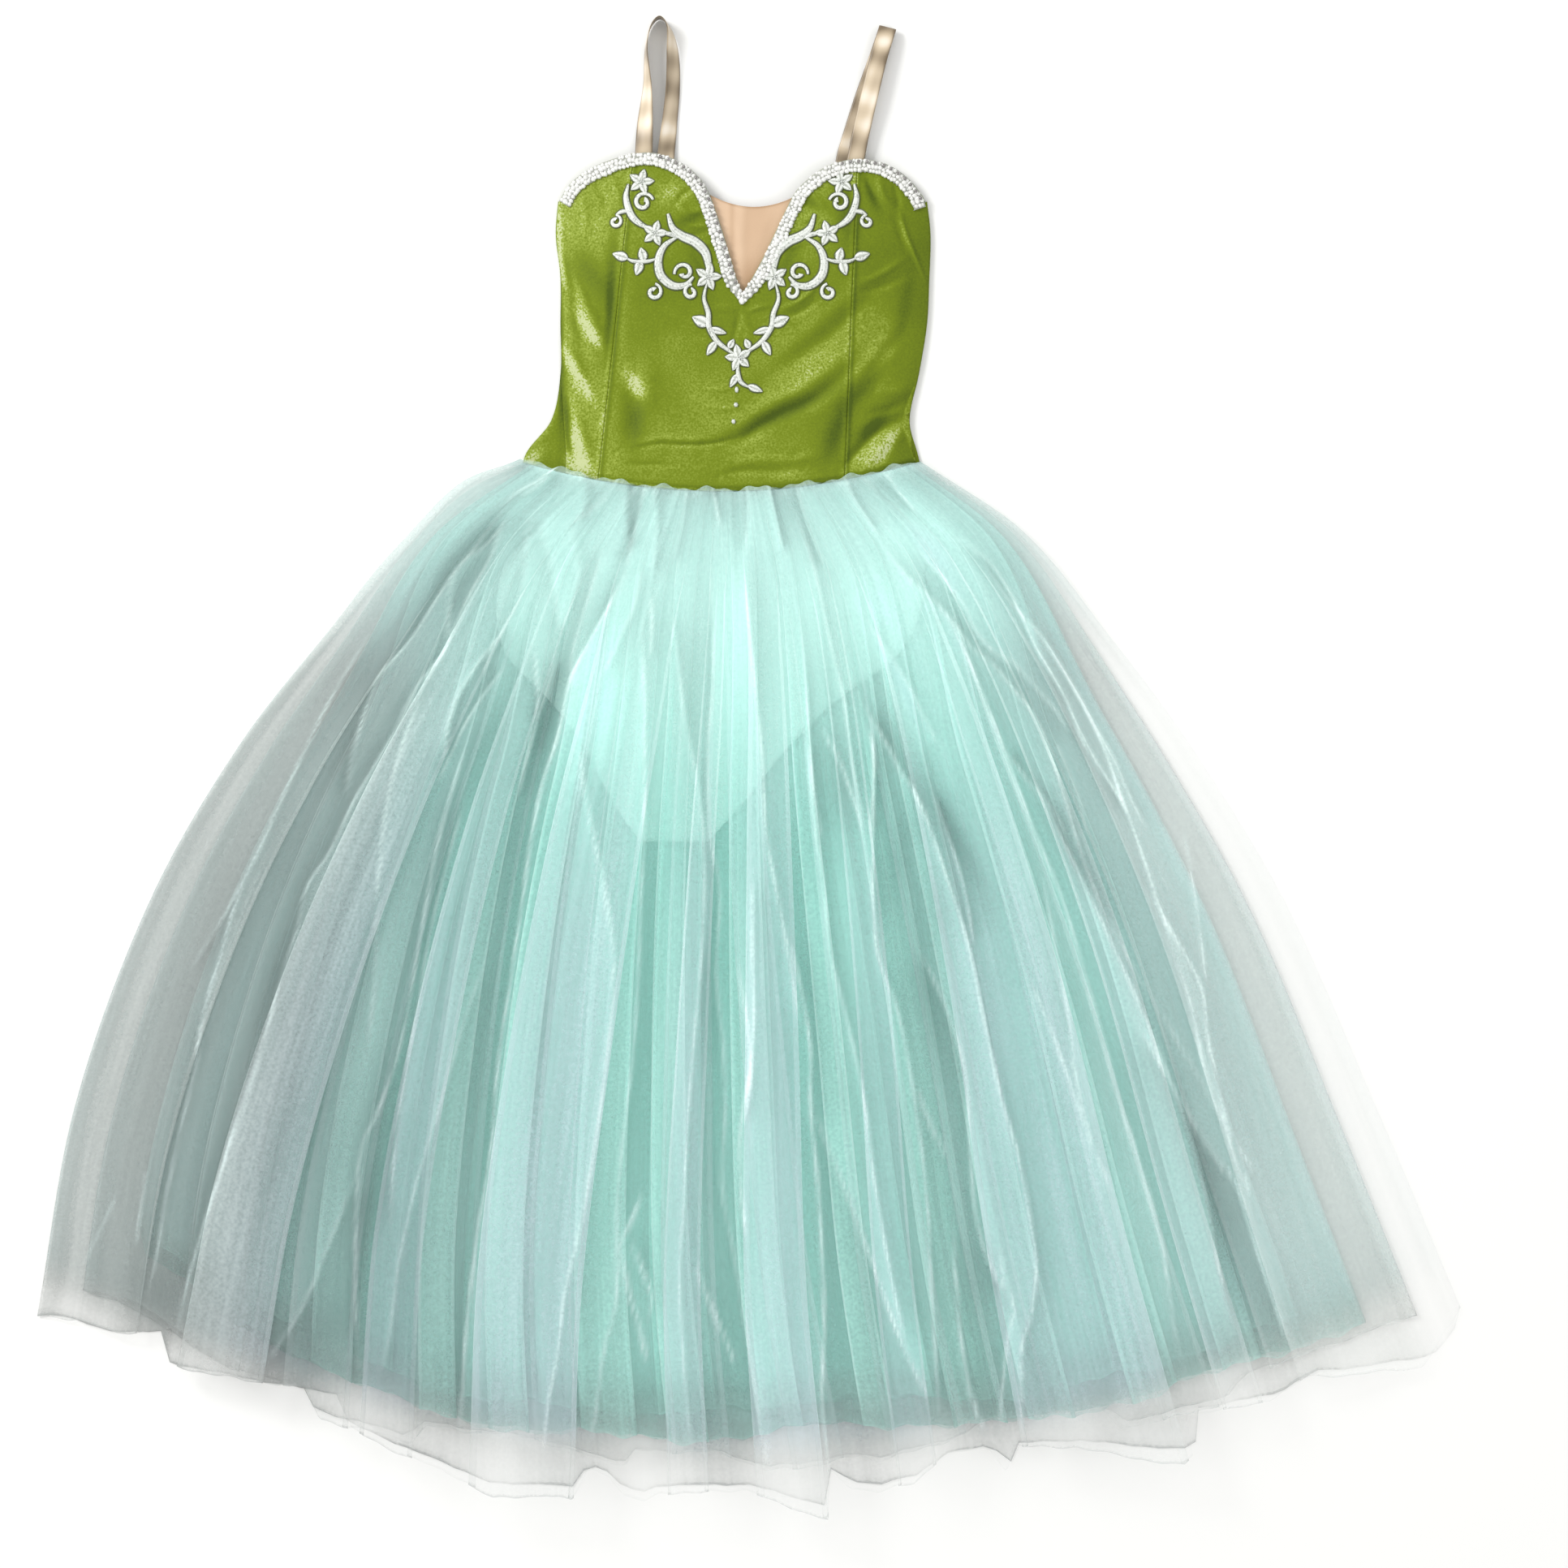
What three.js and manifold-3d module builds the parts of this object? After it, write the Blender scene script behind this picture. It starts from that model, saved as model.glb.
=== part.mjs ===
// A long romantic tutu laid out flat, face up: a stretch velvet bodice with princess seams, a sheer neckline
// insert, a beaded neckline braid, a scrolled applique and satin shoulder straps, a brief, and a skirt of four
// gathered tulle layers, each with a front and a back. Millimetres, +Y towards the straps, +Z up from the floor.
import * as THREE from "three";
import { mergeVertices } from "three/addons/utils/BufferGeometryUtils.js";
import Module from "manifold-3d";

const wasm = await Module();
wasm.setup();

// Cloth walls and the clearance between pieces.
const SEAM = 0.3;
const WAIST_GAP = 0.45; // the same, along the curved waist seam
const DRIFT = 0.8; // the same, between two layers of loose folds
const TULLE = 1.0;
const LYCRA = 1.0;
const VELVET = 2.0;
const NET = 1.0;
const NET_DROP = 0.5; // the insert hangs this far under the velvet's inside
const APPLIQUE = 1.5;
const BRAID = 2.2;
const BRAID_WIDTH = 11.5;
const STRAP_WIDTH = 15;
const STRAP = 1.0;

// The drawing origin is the middle of the waist seam. The part's origin is the middle of its box on the floor.
const WAIST_AT = { x: -14, y: 239.83 };

// Fan of the skirt: v runs from the waist seam, 0, to the longest hem, 1. half is the width from the middle line
// to a side fold, centre is that line's x, and a section curves from y side at both folds to y mid between them.
const FAN = [
  { v: 0.0, half: 172, centre: -12, side: 21, mid: -5 },
  { v: 0.08, half: 261, centre: -14, side: -38, mid: -74 },
  { v: 0.2, half: 336, centre: -15, side: -126, mid: -177 },
  { v: 0.35, half: 410, centre: -17, side: -223, mid: -306 },
  { v: 0.55, half: 489, centre: -15, side: -357, mid: -478 },
  { v: 0.78, half: 560, centre: -8, side: -532, mid: -676 },
  { v: 1.0, half: 615, centre: 14, side: -715, mid: -865 },
];
// The places of the skirt's rows along it; a layer's last row is its own hem.
const SECTION_ROWS = [0, 0.06, 0.15, 0.29, 0.49, 0.74, 1];

// How high one layer's folds stand along the skirt, as a share of the layer's own rise.
const FOLD_RISE = [
  { v: 0.0, share: 0.07 },
  { v: 0.07, share: 0.35 },
  { v: 0.2, share: 0.75 },
  { v: 0.5, share: 1.0 },
  { v: 0.8, share: 0.95 },
  { v: 1.0, share: 0.8 },
];

// The tulle layers from the inside out. reach is the share of the fan's width at mid length, waist the same at
// the seam, hem the length as a share of the longest, rise the height of its folds in mm.
const LAYERS = [
  { name: "underskirt", reach: 0.8, waist: 0.925, hem: 0.93, rise: 9, folds: 10, turn: 0.3, colour: 0x9fdccd },
  { name: "mint_skirt", reach: 0.88, waist: 0.95, hem: 0.955, rise: 11, folds: 12, turn: 1.9, colour: 0xa9e4d6 },
  { name: "grey_veil", reach: 0.945, waist: 0.975, hem: 0.98, rise: 8, folds: 10, turn: 4.1, colour: 0xb9c4c4 },
  { name: "top_veil", reach: 1.0, waist: 1.0, hem: 1.0, rise: 10, folds: 0, turn: 0, colour: 0xc3cacb },
];

// The top veil's broad folds: left and right edges as shares of the half width at the waist and at the hem, and
// how much lower, in mm, the hem hangs there.
const VEIL_FOLDS = [
  { leftWaist: -0.92, rightWaist: -0.8, leftHem: -0.93, rightHem: -0.86, drop: 4 },
  { leftWaist: -0.7, rightWaist: -0.55, leftHem: -0.81, rightHem: -0.67, drop: 16 },
  { leftWaist: -0.5, rightWaist: -0.41, leftHem: -0.55, rightHem: -0.46, drop: -6 },
  { leftWaist: -0.32, rightWaist: -0.09, leftHem: -0.4, rightHem: -0.235, drop: 12 },
  { leftWaist: -0.02, rightWaist: 0.04, leftHem: -0.12, rightHem: -0.05, drop: -8 },
  { leftWaist: 0.09, rightWaist: 0.2, leftHem: 0.0, rightHem: 0.115, drop: 18 },
  { leftWaist: 0.29, rightWaist: 0.37, leftHem: 0.2, rightHem: 0.27, drop: -4 },
  { leftWaist: 0.44, rightWaist: 0.63, leftHem: 0.375, rightHem: 0.607, drop: 10 },
  { leftWaist: 0.68, rightWaist: 0.75, leftHem: 0.655, rightHem: 0.72, drop: -8 },
  { leftWaist: 0.8, rightWaist: 0.92, leftHem: 0.76, rightHem: 0.925, drop: 2 },
];
const LAP_SHARE = 0.2; // how far a fold's edge laps over its neck, as a share of the room a fold has

// The bodice: side edges of the front and the back, and the height of the front's top face along the middle.
const BODICE = [
  { y: 0, left: -146, right: 163, backLeft: -184, backRight: 165, crown: 15.2 },
  { y: 28, left: -145, right: 153, backLeft: -180, backRight: 158, crown: 14 },
  { y: 57, left: -147, right: 145, backLeft: -158, backRight: 151, crown: 13 },
  { y: 97, left: -149, right: 158, backLeft: -150, backRight: 159, crown: 12 },
  { y: 140, left: -149, right: 165, backLeft: -150, backRight: 166, crown: 12.4 },
  { y: 180, left: -149, right: 167, backLeft: -150, backRight: 168, crown: 13.5 },
  { y: 217, left: -153, right: 168, backLeft: -154, backRight: 169, crown: 13 },
  { y: 246, left: -151, right: 165, backLeft: -152, backRight: 166, crown: 11.5 },
  { y: 290, left: -146, right: 160, backLeft: -148, backRight: 161, crown: 9.6 },
];
const CUPS = [
  { x: -78, y: 212, rise: 5.5, spread: 36 },
  { x: 96, y: 208, rise: 5.5, spread: 36 },
];
// Sweetheart neckline, from the left underarm over both cups and down to the point of the V.
const NECKLINE = [
  { x: -151, y: 246 },
  { x: -141, y: 261 },
  { x: -124, y: 273 },
  { x: -105, y: 281 },
  { x: -86, y: 286 },
  { x: -67, y: 286 },
  { x: -48, y: 279 },
  { x: -34, y: 269 },
  { x: -23, y: 254 },
  { x: -15, y: 233 },
  { x: -6, y: 205 },
  { x: 2, y: 178 },
  { x: 7, y: 166 },
  { x: 14, y: 176 },
  { x: 25, y: 196 },
  { x: 36, y: 219 },
  { x: 44, y: 236 },
  { x: 53, y: 253 },
  { x: 65, y: 265 },
  { x: 78, y: 274 },
  { x: 92, y: 279 },
  { x: 106, y: 281 },
  { x: 128, y: 278 },
  { x: 147, y: 267 },
  { x: 161, y: 251 },
  { x: 165, y: 241 },
];
const LEFT_SEAM_COLUMN = 4;
const RIGHT_SEAM_COLUMN = 21;
const SEAM_FOOT = { left: -117, right: 95 };
const FRONT_ROWS = [0, 0.1, 0.28, 0.46, 0.64, 0.8, 0.92, 1];
const BACK_NECK = { low: 196, rise: 50 };

// The brief: half width and middle line down its length.
const BRIEF = [
  { y: -3, half: 126, centre: -12 },
  { y: -30, half: 150, centre: -14 },
  { y: -70, half: 181, centre: -18 },
  { y: -140, half: 172, centre: -27 },
  { y: -188, half: 120, centre: -36 },
  { y: -230, half: 84, centre: -42 },
  { y: -270, half: 58, centre: -48 },
  { y: -306, half: 29, centre: -52 },
];

// Strap stations: the centre of the ribbon, and the turn in degrees of its width out of the floor's plane. A
// tucked station lies just under the velvet front, and the last ones lie on the bodice's back.
const LEFT_STRAP = [
  { x: -78, y: 266, tucked: true, tilt: 0 },
  { x: -78, y: 284, tucked: true, tilt: 0 },
  { x: -77, y: 312, z: 4.8, tilt: 25 },
  { x: -75, y: 345, z: 7.0, tilt: 60 },
  { x: -76, y: 376, z: 8.1, tilt: 80 },
  { x: -72, y: 395, z: 8.2, tilt: 86 },
  { x: -64, y: 403, z: 8.2, tilt: 90 },
  { x: -56, y: 394, z: 8.0, tilt: 104 },
  { x: -53, y: 372, z: 6.8, tilt: 132 },
  { x: -53, y: 343, z: 5.6, tilt: 142 },
  { x: -56, y: 312, z: 4.8, tilt: 150 },
  { x: -59, y: 286, z: 3.6, tilt: 170 },
  { x: -61, y: 255, z: 2.9, tilt: 180 },
  { x: -62, y: 208, z: 2.8, tilt: 180 },
];
const RIGHT_STRAP = [
  { x: 100, y: 264, tucked: true, tilt: 0 },
  { x: 104, y: 279, tucked: true, tilt: 0 },
  { x: 108, y: 300, z: 7.6, tilt: 4 },
  { x: 116, y: 335, z: 9.4, tilt: 6 },
  { x: 124, y: 368, z: 9.4, tilt: 4 },
  { x: 130, y: 388, z: 8.2, tilt: 0 },
  { x: 132, y: 395, z: 5.0, tilt: 0 },
  { x: 129, y: 386, z: 1.8, tilt: 0 },
  { x: 122, y: 366, z: 0.8, tilt: 0 },
  { x: 111, y: 335, z: 0.8, tilt: 0 },
  { x: 100, y: 300, z: 1.0, tilt: 0 },
  { x: 95, y: 282, z: 1.6, tilt: 0 },
  { x: 91, y: 255, z: 2.8, tilt: 0 },
  { x: 90, y: 208, z: 2.8, tilt: 0 },
];
const RIGHT_STRAP_YAW = -14;
const STRAP_STEPS = 40;

// The value of one column of a table at a place, on a smooth curve through its rows.
function track(table, key, at, column) {
  const last = table.length - 1;
  let i = 0;
  while (i < last - 1 && at > table[i + 1][key]) i++;
  const span = table[i + 1][key] - table[i][key];
  const slope = (j) => {
    const a = Math.max(j - 1, 0);
    const b = Math.min(j + 1, last);
    return (table[b][column] - table[a][column]) / (table[b][key] - table[a][key]);
  };
  const s = (at - table[i][key]) / span;
  if (s > 1) return table[last][column] + slope(last) * (at - table[last][key]);
  const t = Math.max(s, 0);
  const rise = table[i + 1][column] - table[i][column];
  const m0 = slope(i) * span;
  const m1 = slope(i + 1) * span;
  return table[i][column] + t * m0 + t * t * (3 * rise - 2 * m0 - m1) + t * t * t * (m0 + m1 - 2 * rise);
}

const clamp = THREE.MathUtils.clamp;
const lerp = THREE.MathUtils.lerp;
const smooth = THREE.MathUtils.smoothstep;

// An even sequence of values from -1 to 1 that doesn't repeat soon.
const uneven = (i, turn) => Math.sin(i * 2.399 + turn) * Math.cos(i * 1.07 + 2 * turn);

// Turns a mesh's faces outwards, whichever way its grid ran.
function outward(positions, index) {
  let volume = 0;
  for (let i = 0; i < index.length; i += 3) {
    const [a, b, c] = [index[i] * 3, index[i + 1] * 3, index[i + 2] * 3];
    volume +=
      positions[a] * (positions[b + 1] * positions[c + 2] - positions[b + 2] * positions[c + 1]) -
      positions[a + 1] * (positions[b] * positions[c + 2] - positions[b + 2] * positions[c]) +
      positions[a + 2] * (positions[b] * positions[c + 1] - positions[b + 1] * positions[c]);
  }
  if (volume < 0)
    for (let i = 0; i < index.length; i += 3) [index[i + 1], index[i + 2]] = [index[i + 2], index[i + 1]];
  const geometry = new THREE.BufferGeometry();
  geometry.setAttribute("position", new THREE.Float32BufferAttribute(positions, 3));
  geometry.setIndex(index);
  return geometry;
}

// A closed wall between two sheets of points, each given as rows of [x, y, z].
function wall(upper, lower) {
  const rows = upper.length;
  const columns = upper[0].length;
  const positions = [...upper.flat(2), ...lower.flat(2)];
  const top = (r, c) => r * columns + c;
  const under = (r, c) => rows * columns + r * columns + c;
  const index = [];
  const quad = (a, b, c, d) => index.push(a, b, c, a, c, d);
  for (let r = 0; r < rows - 1; r++)
    for (let c = 0; c < columns - 1; c++) {
      quad(top(r, c), top(r, c + 1), top(r + 1, c + 1), top(r + 1, c));
      quad(under(r, c), under(r + 1, c), under(r + 1, c + 1), under(r, c + 1));
    }
  for (let c = 0; c < columns - 1; c++) {
    quad(top(0, c + 1), top(0, c), under(0, c), under(0, c + 1));
    quad(top(rows - 1, c), top(rows - 1, c + 1), under(rows - 1, c + 1), under(rows - 1, c));
  }
  for (let r = 0; r < rows - 1; r++) {
    quad(top(r, 0), top(r + 1, 0), under(r + 1, 0), under(r, 0));
    quad(top(r + 1, columns - 1), top(r, columns - 1), under(r, columns - 1), under(r + 1, columns - 1));
  }
  return outward(positions, index);
}

// A flat or curved slab: one sheet of points and its thickness straight down.
const slab = (sheet, thickness) =>
  wall(
    sheet,
    sheet.map((row) => row.map(([x, y, z]) => [x, y, z - thickness])),
  );

// ---- Skirt ----

const FAN_LENGTH = 860;
const BACK_EXTRA = 0.004; // a back hangs this much longer than its front, as a share of the fan's length

// The plan of the fan at share u across and v down.
function fanPoint(u, v) {
  const half = track(FAN, "v", v, "half");
  const side = track(FAN, "v", v, "side");
  const mid = track(FAN, "v", v, "mid");
  return [track(FAN, "v", v, "centre") + u * half, mid + (side - mid) * u * u];
}

// The share of the fan's width that a layer covers at v.
const reachAt = (layer, v) => lerp(layer.waist, layer.reach, smooth(v, 0, 0.3));

// A back panel's top face, the level that its front's edge lies on, and how high its front's folds may stand.
const backTop = (k) => (LAYERS.length - 1 - k) * (TULLE + SEAM) + TULLE;
const BRIEF_LIFT = 2 * (LYCRA + SEAM);
const BRIEF_RAMP = 0.18;
const LAYER = TULLE + DRIFT;
const edgeLevel = (k) => backTop(k) + SEAM;
// Near the waist the side edges stay stacked on each other; further down each lies on its own back.
const edgeHeight = (k, v) =>
  k === 0 ? edgeLevel(0) : lerp(edgeHeight(k - 1, v) + LAYER, edgeLevel(k), smooth(v, 0.06, 0.3));

function foldHeight(k, u, v) {
  const reach = reachAt(LAYERS[k], v);
  const fade = 1 - smooth(Math.abs(u), reach - lerp(0.25, 0.3, smooth(v, 0, 0.3)), reach);
  return LAYERS[k].rise * track(FOLD_RISE, "v", clamp(v, 0, 1), "share") * fade;
}

// The lowest level of front k: on its own back at the side folds, and on what lies under it between them.
function frontFloor(k, u, v) {
  const at = Math.abs(u);
  const own = reachAt(LAYERS[k], v);
  if (k === 0) return edgeLevel(0) + BRIEF_LIFT * (1 - smooth(at, own - BRIEF_RAMP, own));
  const inner = LAYERS[k - 1];
  const inV = Math.min(v, inner.hem);
  const reach = reachAt(inner, inV);
  if (at <= reach) return frontFloor(k - 1, u, inV) + foldHeight(k - 1, u, inV) + LAYER;
  return lerp(edgeHeight(k - 1, v) + LAYER, edgeHeight(k, v), clamp((at - reach) / (own - reach), 0, 1));
}

// Where a layer's flat side strip ends, just outside the edge of the layer inside it, as a share of its width.
const SIDE_STRIP = 0.975;
const CLEAR_OF_EDGE = 0.006;
const shoulderAt = (k, v) =>
  k === 0 ? SIDE_STRIP : (reachAt(LAYERS[k - 1], v) + CLEAR_OF_EDGE) / reachAt(LAYERS[k], v);

// Fold edges of a layer at v, as shares of its own half width, with the hem's drop in mm.
function foldsAt(k, v) {
  const layer = LAYERS[k];
  if (!layer.folds)
    return VEIL_FOLDS.map((f) => ({
      left: lerp(f.leftWaist, f.leftHem, v),
      right: lerp(f.rightWaist, f.rightHem, v),
      drop: f.drop,
    }));
  const cell = 2 / (layer.folds + 0.4);
  const share = shoulderAt(k, v);
  return Array.from({ length: layer.folds }, (_, i) => {
    const sway = 0.16 * uneven(i, layer.turn + 1.3) * Math.sin(2.4 * v + i);
    const middle = -1 + cell * (i + 0.7 + 0.16 * uneven(i, layer.turn) + sway);
    const half = cell * (0.29 + 0.09 * uneven(i, layer.turn + 2.1));
    return { left: share * (middle - half), right: share * (middle + half), drop: 9 * uneven(i, layer.turn + 3.7) };
  });
}

// A section's control points at v: share across, height as a share of the fold's, and the hem's drop.
function controlPoints(k, v) {
  const layer = LAYERS[k];
  const folds = foldsAt(k, v);
  const cell = 2 / folds.length;
  const reach = reachAt(layer, v);
  const lapAt = (u, room) => {
    const stand = foldHeight(k, u * reach, v);
    return Math.min(LAP_SHARE * cell * clamp((stand - 2.5) / 4, -0.6, 1), 0.36 * room);
  };
  const shoulder = shoulderAt(k, v);
  const points = [
    [-1, 0, 0],
    [-shoulder, 0, 0],
  ];
  folds.forEach((fold, i) => {
    const room = fold.right - fold.left;
    const lapLeft = lapAt(fold.left, room);
    const lapRight = lapAt(fold.right, room);
    points.push(
      [fold.left + 0.9 * lapLeft, 0.1, fold.drop],
      [fold.left, 0.5, fold.drop],
      [fold.left + 0.6 * Math.abs(lapLeft), 1, fold.drop],
      [(fold.left + fold.right) / 2, 0.86, fold.drop],
      [fold.right - 0.6 * Math.abs(lapRight), 1, fold.drop],
      [fold.right, 0.5, fold.drop],
      [fold.right - 0.9 * lapRight, 0.1, fold.drop],
    );
    const next = folds[i + 1];
    if (next) points.push([(fold.right + next.left) / 2, 0, (fold.drop + next.drop) / 2]);
  });
  points.push([shoulder, 0, 0], [1, 0, 0]);
  return points;
}

// One row of a front layer, as points on the cloth's middle, smoothed as a cubic B-spline is at its knots.
function frontRow(k, place) {
  const layer = LAYERS[k];
  const isHem = place === 1;
  const at = controlPoints(k, isHem ? layer.hem : place);
  return at.map((own, i) => {
    const isStrip = i < 2 || i > at.length - 3;
    const blend = (n) => (isStrip ? own[n] : (at[i - 1][n] + 4 * own[n] + at[i + 1][n]) / 6);
    const v = isHem ? layer.hem + blend(2) / FAN_LENGTH : place;
    const u = blend(0) * reachAt(layer, v);
    const [x, y] = fanPoint(u, v);
    const floor = frontFloor(k, u, v);
    return { x, y, z: floor + TULLE / 2 + blend(1) * foldHeight(k, u, v), u, v, floor };
  });
}

// A front layer: the cloth's middle, moved out by half its thickness to both sides across each section.
function tulleFront(k) {
  const upper = [];
  const lower = [];
  for (const place of SECTION_ROWS) {
    const row = frontRow(k, place);
    const sides = row.map((p, i) => {
      const a = row[Math.max(i - 1, 0)];
      const b = row[Math.min(i + 1, row.length - 1)];
      const before = fanPoint(p.u - 0.01, p.v);
      const after = fanPoint(p.u + 0.01, p.v);
      const along = new THREE.Vector2(after[0] - before[0], after[1] - before[1]).normalize();
      const forward = (b.x - a.x) * along.x + (b.y - a.y) * along.y;
      const up = b.z - a.z;
      const length = Math.hypot(forward, up) || 1;
      const flat = i === 0 || i === row.length - 1;
      const nx = flat ? 0 : (-up / length) * along.x;
      const ny = flat ? 0 : (-up / length) * along.y;
      const nz = flat ? 1 : forward / length;
      return { p, nx, ny, nz };
    });
    const moved = (s, by) => [s.p.x + s.nx * by, s.p.y + s.ny * by, Math.max(s.p.z + s.nz * by, s.p.floor)];
    upper.push(sides.map((s) => moved(s, TULLE / 2)));
    lower.push(sides.map((s) => moved(s, -TULLE / 2)));
  }
  return wall(upper, lower);
}

// A back layer lies flat under its front, with the same side folds and a plain hem.
function tulleBack(k) {
  const columns = 12;
  const rows = SECTION_ROWS.map((place) =>
    Array.from({ length: columns + 1 }, (_, c) => {
      const v = Math.min(place, LAYERS[k].hem + BACK_EXTRA);
      const u = (-1 + (2 * c) / columns) * reachAt(LAYERS[k], v);
      return [...fanPoint(u, v), backTop(k)];
    }),
  );
  return slab(rows, TULLE);
}

// ---- Brief ----

function briefPanel(level) {
  const steps = 6;
  const rows = BRIEF.map(({ y, half, centre }) =>
    Array.from({ length: steps + 1 }, (_, c) => {
      const a = -1 + (2 * c) / steps;
      const waistDip = y > -40 ? 0.0012 * (a * half) ** 2 - 6 : 0;
      return [centre + a * half, y + Math.min(waistDip, 12), level + LYCRA];
    }),
  );
  return slab(rows, LYCRA);
}

// ---- Bodice ----

const waistLine = (x) => {
  const u = clamp((x - FAN[0].centre) / FAN[0].half, -1, 1);
  return FAN[0].mid + (FAN[0].side - FAN[0].mid) * u * u + WAIST_GAP;
};
const SIDE_LEVEL = 2 * VELVET + SEAM;

// The top face of the velvet front.
function frontFace(x, y) {
  const left = track(BODICE, "y", y, "left");
  const right = track(BODICE, "y", y, "right");
  const across = clamp((2 * x - left - right) / (right - left), -1, 1);
  const cups = CUPS.reduce((sum, c) => {
    const far = (x - c.x) ** 2 + (y - c.y) ** 2;
    return sum + c.rise * Math.exp(-far / (2 * c.spread ** 2));
  }, 0);
  const round = 1 - across ** 6;
  return SIDE_LEVEL + (track(BODICE, "y", y, "crown") - SIDE_LEVEL + cups) * round;
}

// The whole front as columns that rise from the waist line to the neckline's points.
function frontSheet(first, last, insetLeft, insetRight, lift) {
  const foot = (c) => {
    const spans = [
      [0, LEFT_SEAM_COLUMN, track(BODICE, "y", 0, "left"), SEAM_FOOT.left],
      [LEFT_SEAM_COLUMN, RIGHT_SEAM_COLUMN, SEAM_FOOT.left, SEAM_FOOT.right],
      [RIGHT_SEAM_COLUMN, NECKLINE.length - 1, SEAM_FOOT.right, track(BODICE, "y", 0, "right")],
    ];
    const [a, b, from, to] = spans.find((s) => c <= s[1]);
    return lerp(from, to, (NECKLINE[c].x - NECKLINE[a].x) / (NECKLINE[b].x - NECKLINE[a].x));
  };
  return FRONT_ROWS.map((share) => {
    const row = [];
    for (let c = first; c <= last; c++) {
      const neck = NECKLINE[c];
      const base = foot(c);
      const y = lerp(waistLine(base), neck.y, share);
      let x = lerp(base, neck.x, share);
      if (c === 0) x = track(BODICE, "y", Math.min(y, 246), "left");
      if (c === NECKLINE.length - 1) x = track(BODICE, "y", Math.min(y, 241), "right");
      if (c === first) x += insetLeft;
      if (c === last) x -= insetRight;
      row.push([x, y, frontFace(x, y) + lift]);
    }
    return row;
  });
}

function backPanel() {
  const columns = 12;
  const rows = [0, 0.12, 0.25, 0.42, 0.62, 0.82, 1].map((share) =>
    Array.from({ length: columns + 1 }, (_, c) => {
      const a = -1 + (2 * c) / columns;
      const top = BACK_NECK.low + BACK_NECK.rise * a * a;
      const acrossAt = (y) => {
        const left = track(BODICE, "y", y, "backLeft");
        return lerp(left, track(BODICE, "y", y, "backRight"), c / columns);
      };
      const foot = acrossAt(waistLine(acrossAt(0)));
      const y = lerp(waistLine(foot), top, share);
      return [acrossAt(y), y, VELVET];
    }),
  );
  return slab(rows, VELVET);
}

// The sheer insert that fills the V, tucked under the velvet on both sides.
function neckInsert() {
  const tuck = 13;
  const columns = 12;
  const from = -21;
  const to = 57;
  const rows = [0, 0.25, 0.5, 0.75, 1].map((share) =>
    Array.from({ length: columns + 1 }, (_, c) => {
      const x = lerp(from, to, c / columns);
      const top = 240 + 11 * ((x - 17) / 39) ** 2;
      const y = lerp(Math.min(track(NECKLINE, "x", x, "y") - tuck, top - 8), top, share);
      return [x, y, frontFace(x, y) - VELVET - NET_DROP];
    }),
  );
  return slab(rows, NET);
}

// ---- Straps ----

const TUCK_GAP = 0.4;

// The level of a ribbon's middle where it lies just under the velvet, clear over its whole width.
function tuckLevel(x, y) {
  const faces = [-STRAP_WIDTH / 2, 0, STRAP_WIDTH / 2].map((out) => frontFace(x + out, y));
  return Math.min(...faces) - VELVET - TUCK_GAP - STRAP / 2;
}

function strap(stations, yaw) {
  const centre = new THREE.CatmullRomCurve3(
    stations.map((s) => new THREE.Vector3(s.x, s.y, s.tucked ? tuckLevel(s.x, s.y) : s.z)),
    false,
    "catmullrom",
    0.5,
  );
  const tilts = stations.map((s, i) => ({ i, tilt: s.tilt }));
  const corners = [[], [], [], []];
  for (let n = 0; n <= STRAP_STEPS; n++) {
    const share = n / STRAP_STEPS;
    const p = centre.getPoint(share);
    const tilt = THREE.MathUtils.degToRad(track(tilts, "i", share * (stations.length - 1), "tilt"));
    const turn = THREE.MathUtils.degToRad(yaw);
    const wide = new THREE.Vector3(
      Math.cos(turn) * Math.cos(tilt),
      Math.sin(turn) * Math.cos(tilt),
      Math.sin(tilt),
    );
    const face = centre.getTangent(share).cross(wide).normalize();
    const out = wide.clone().multiplyScalar(STRAP_WIDTH / 2);
    const up = face.multiplyScalar(STRAP / 2);
    [
      p.clone().add(out).add(up),
      p.clone().sub(out).add(up),
      p.clone().sub(out).sub(up),
      p.clone().add(out).sub(up),
    ].forEach((corner, i) => corners[i].push(corner.toArray()));
  }
  return wall([corners[0], corners[1]], [corners[3], corners[2]]);
}

// ---- Trimmings: drawn in plan, then cut out of a layer that follows the velvet's face ----

const solid = (geometry) => {
  const bare = geometry.clone();
  bare.deleteAttribute("normal");
  bare.deleteAttribute("uv");
  const merged = mergeVertices(bare, 1e-4);
  return new wasm.Manifold(
    new wasm.Mesh({
      numProp: 3,
      vertProperties: Float32Array.from(merged.attributes.position.array),
      triVerts: Uint32Array.from(merged.index.array),
    }),
  );
};

const PRISM_HEIGHT = 60;

function prism(outline) {
  const shape = new THREE.Shape(outline.map(([x, y]) => new THREE.Vector2(x, y)));
  return solid(new THREE.ExtrudeGeometry(shape, { depth: PRISM_HEIGHT, bevelEnabled: false }));
}

function asGeometry(made) {
  const mesh = made.getMesh();
  const positions = [];
  for (let i = 0; i < mesh.numVert; i++)
    positions.push(...mesh.vertProperties.subarray(i * mesh.numProp, i * mesh.numProp + 3));
  return outward(positions, [...mesh.triVerts]);
}

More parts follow.
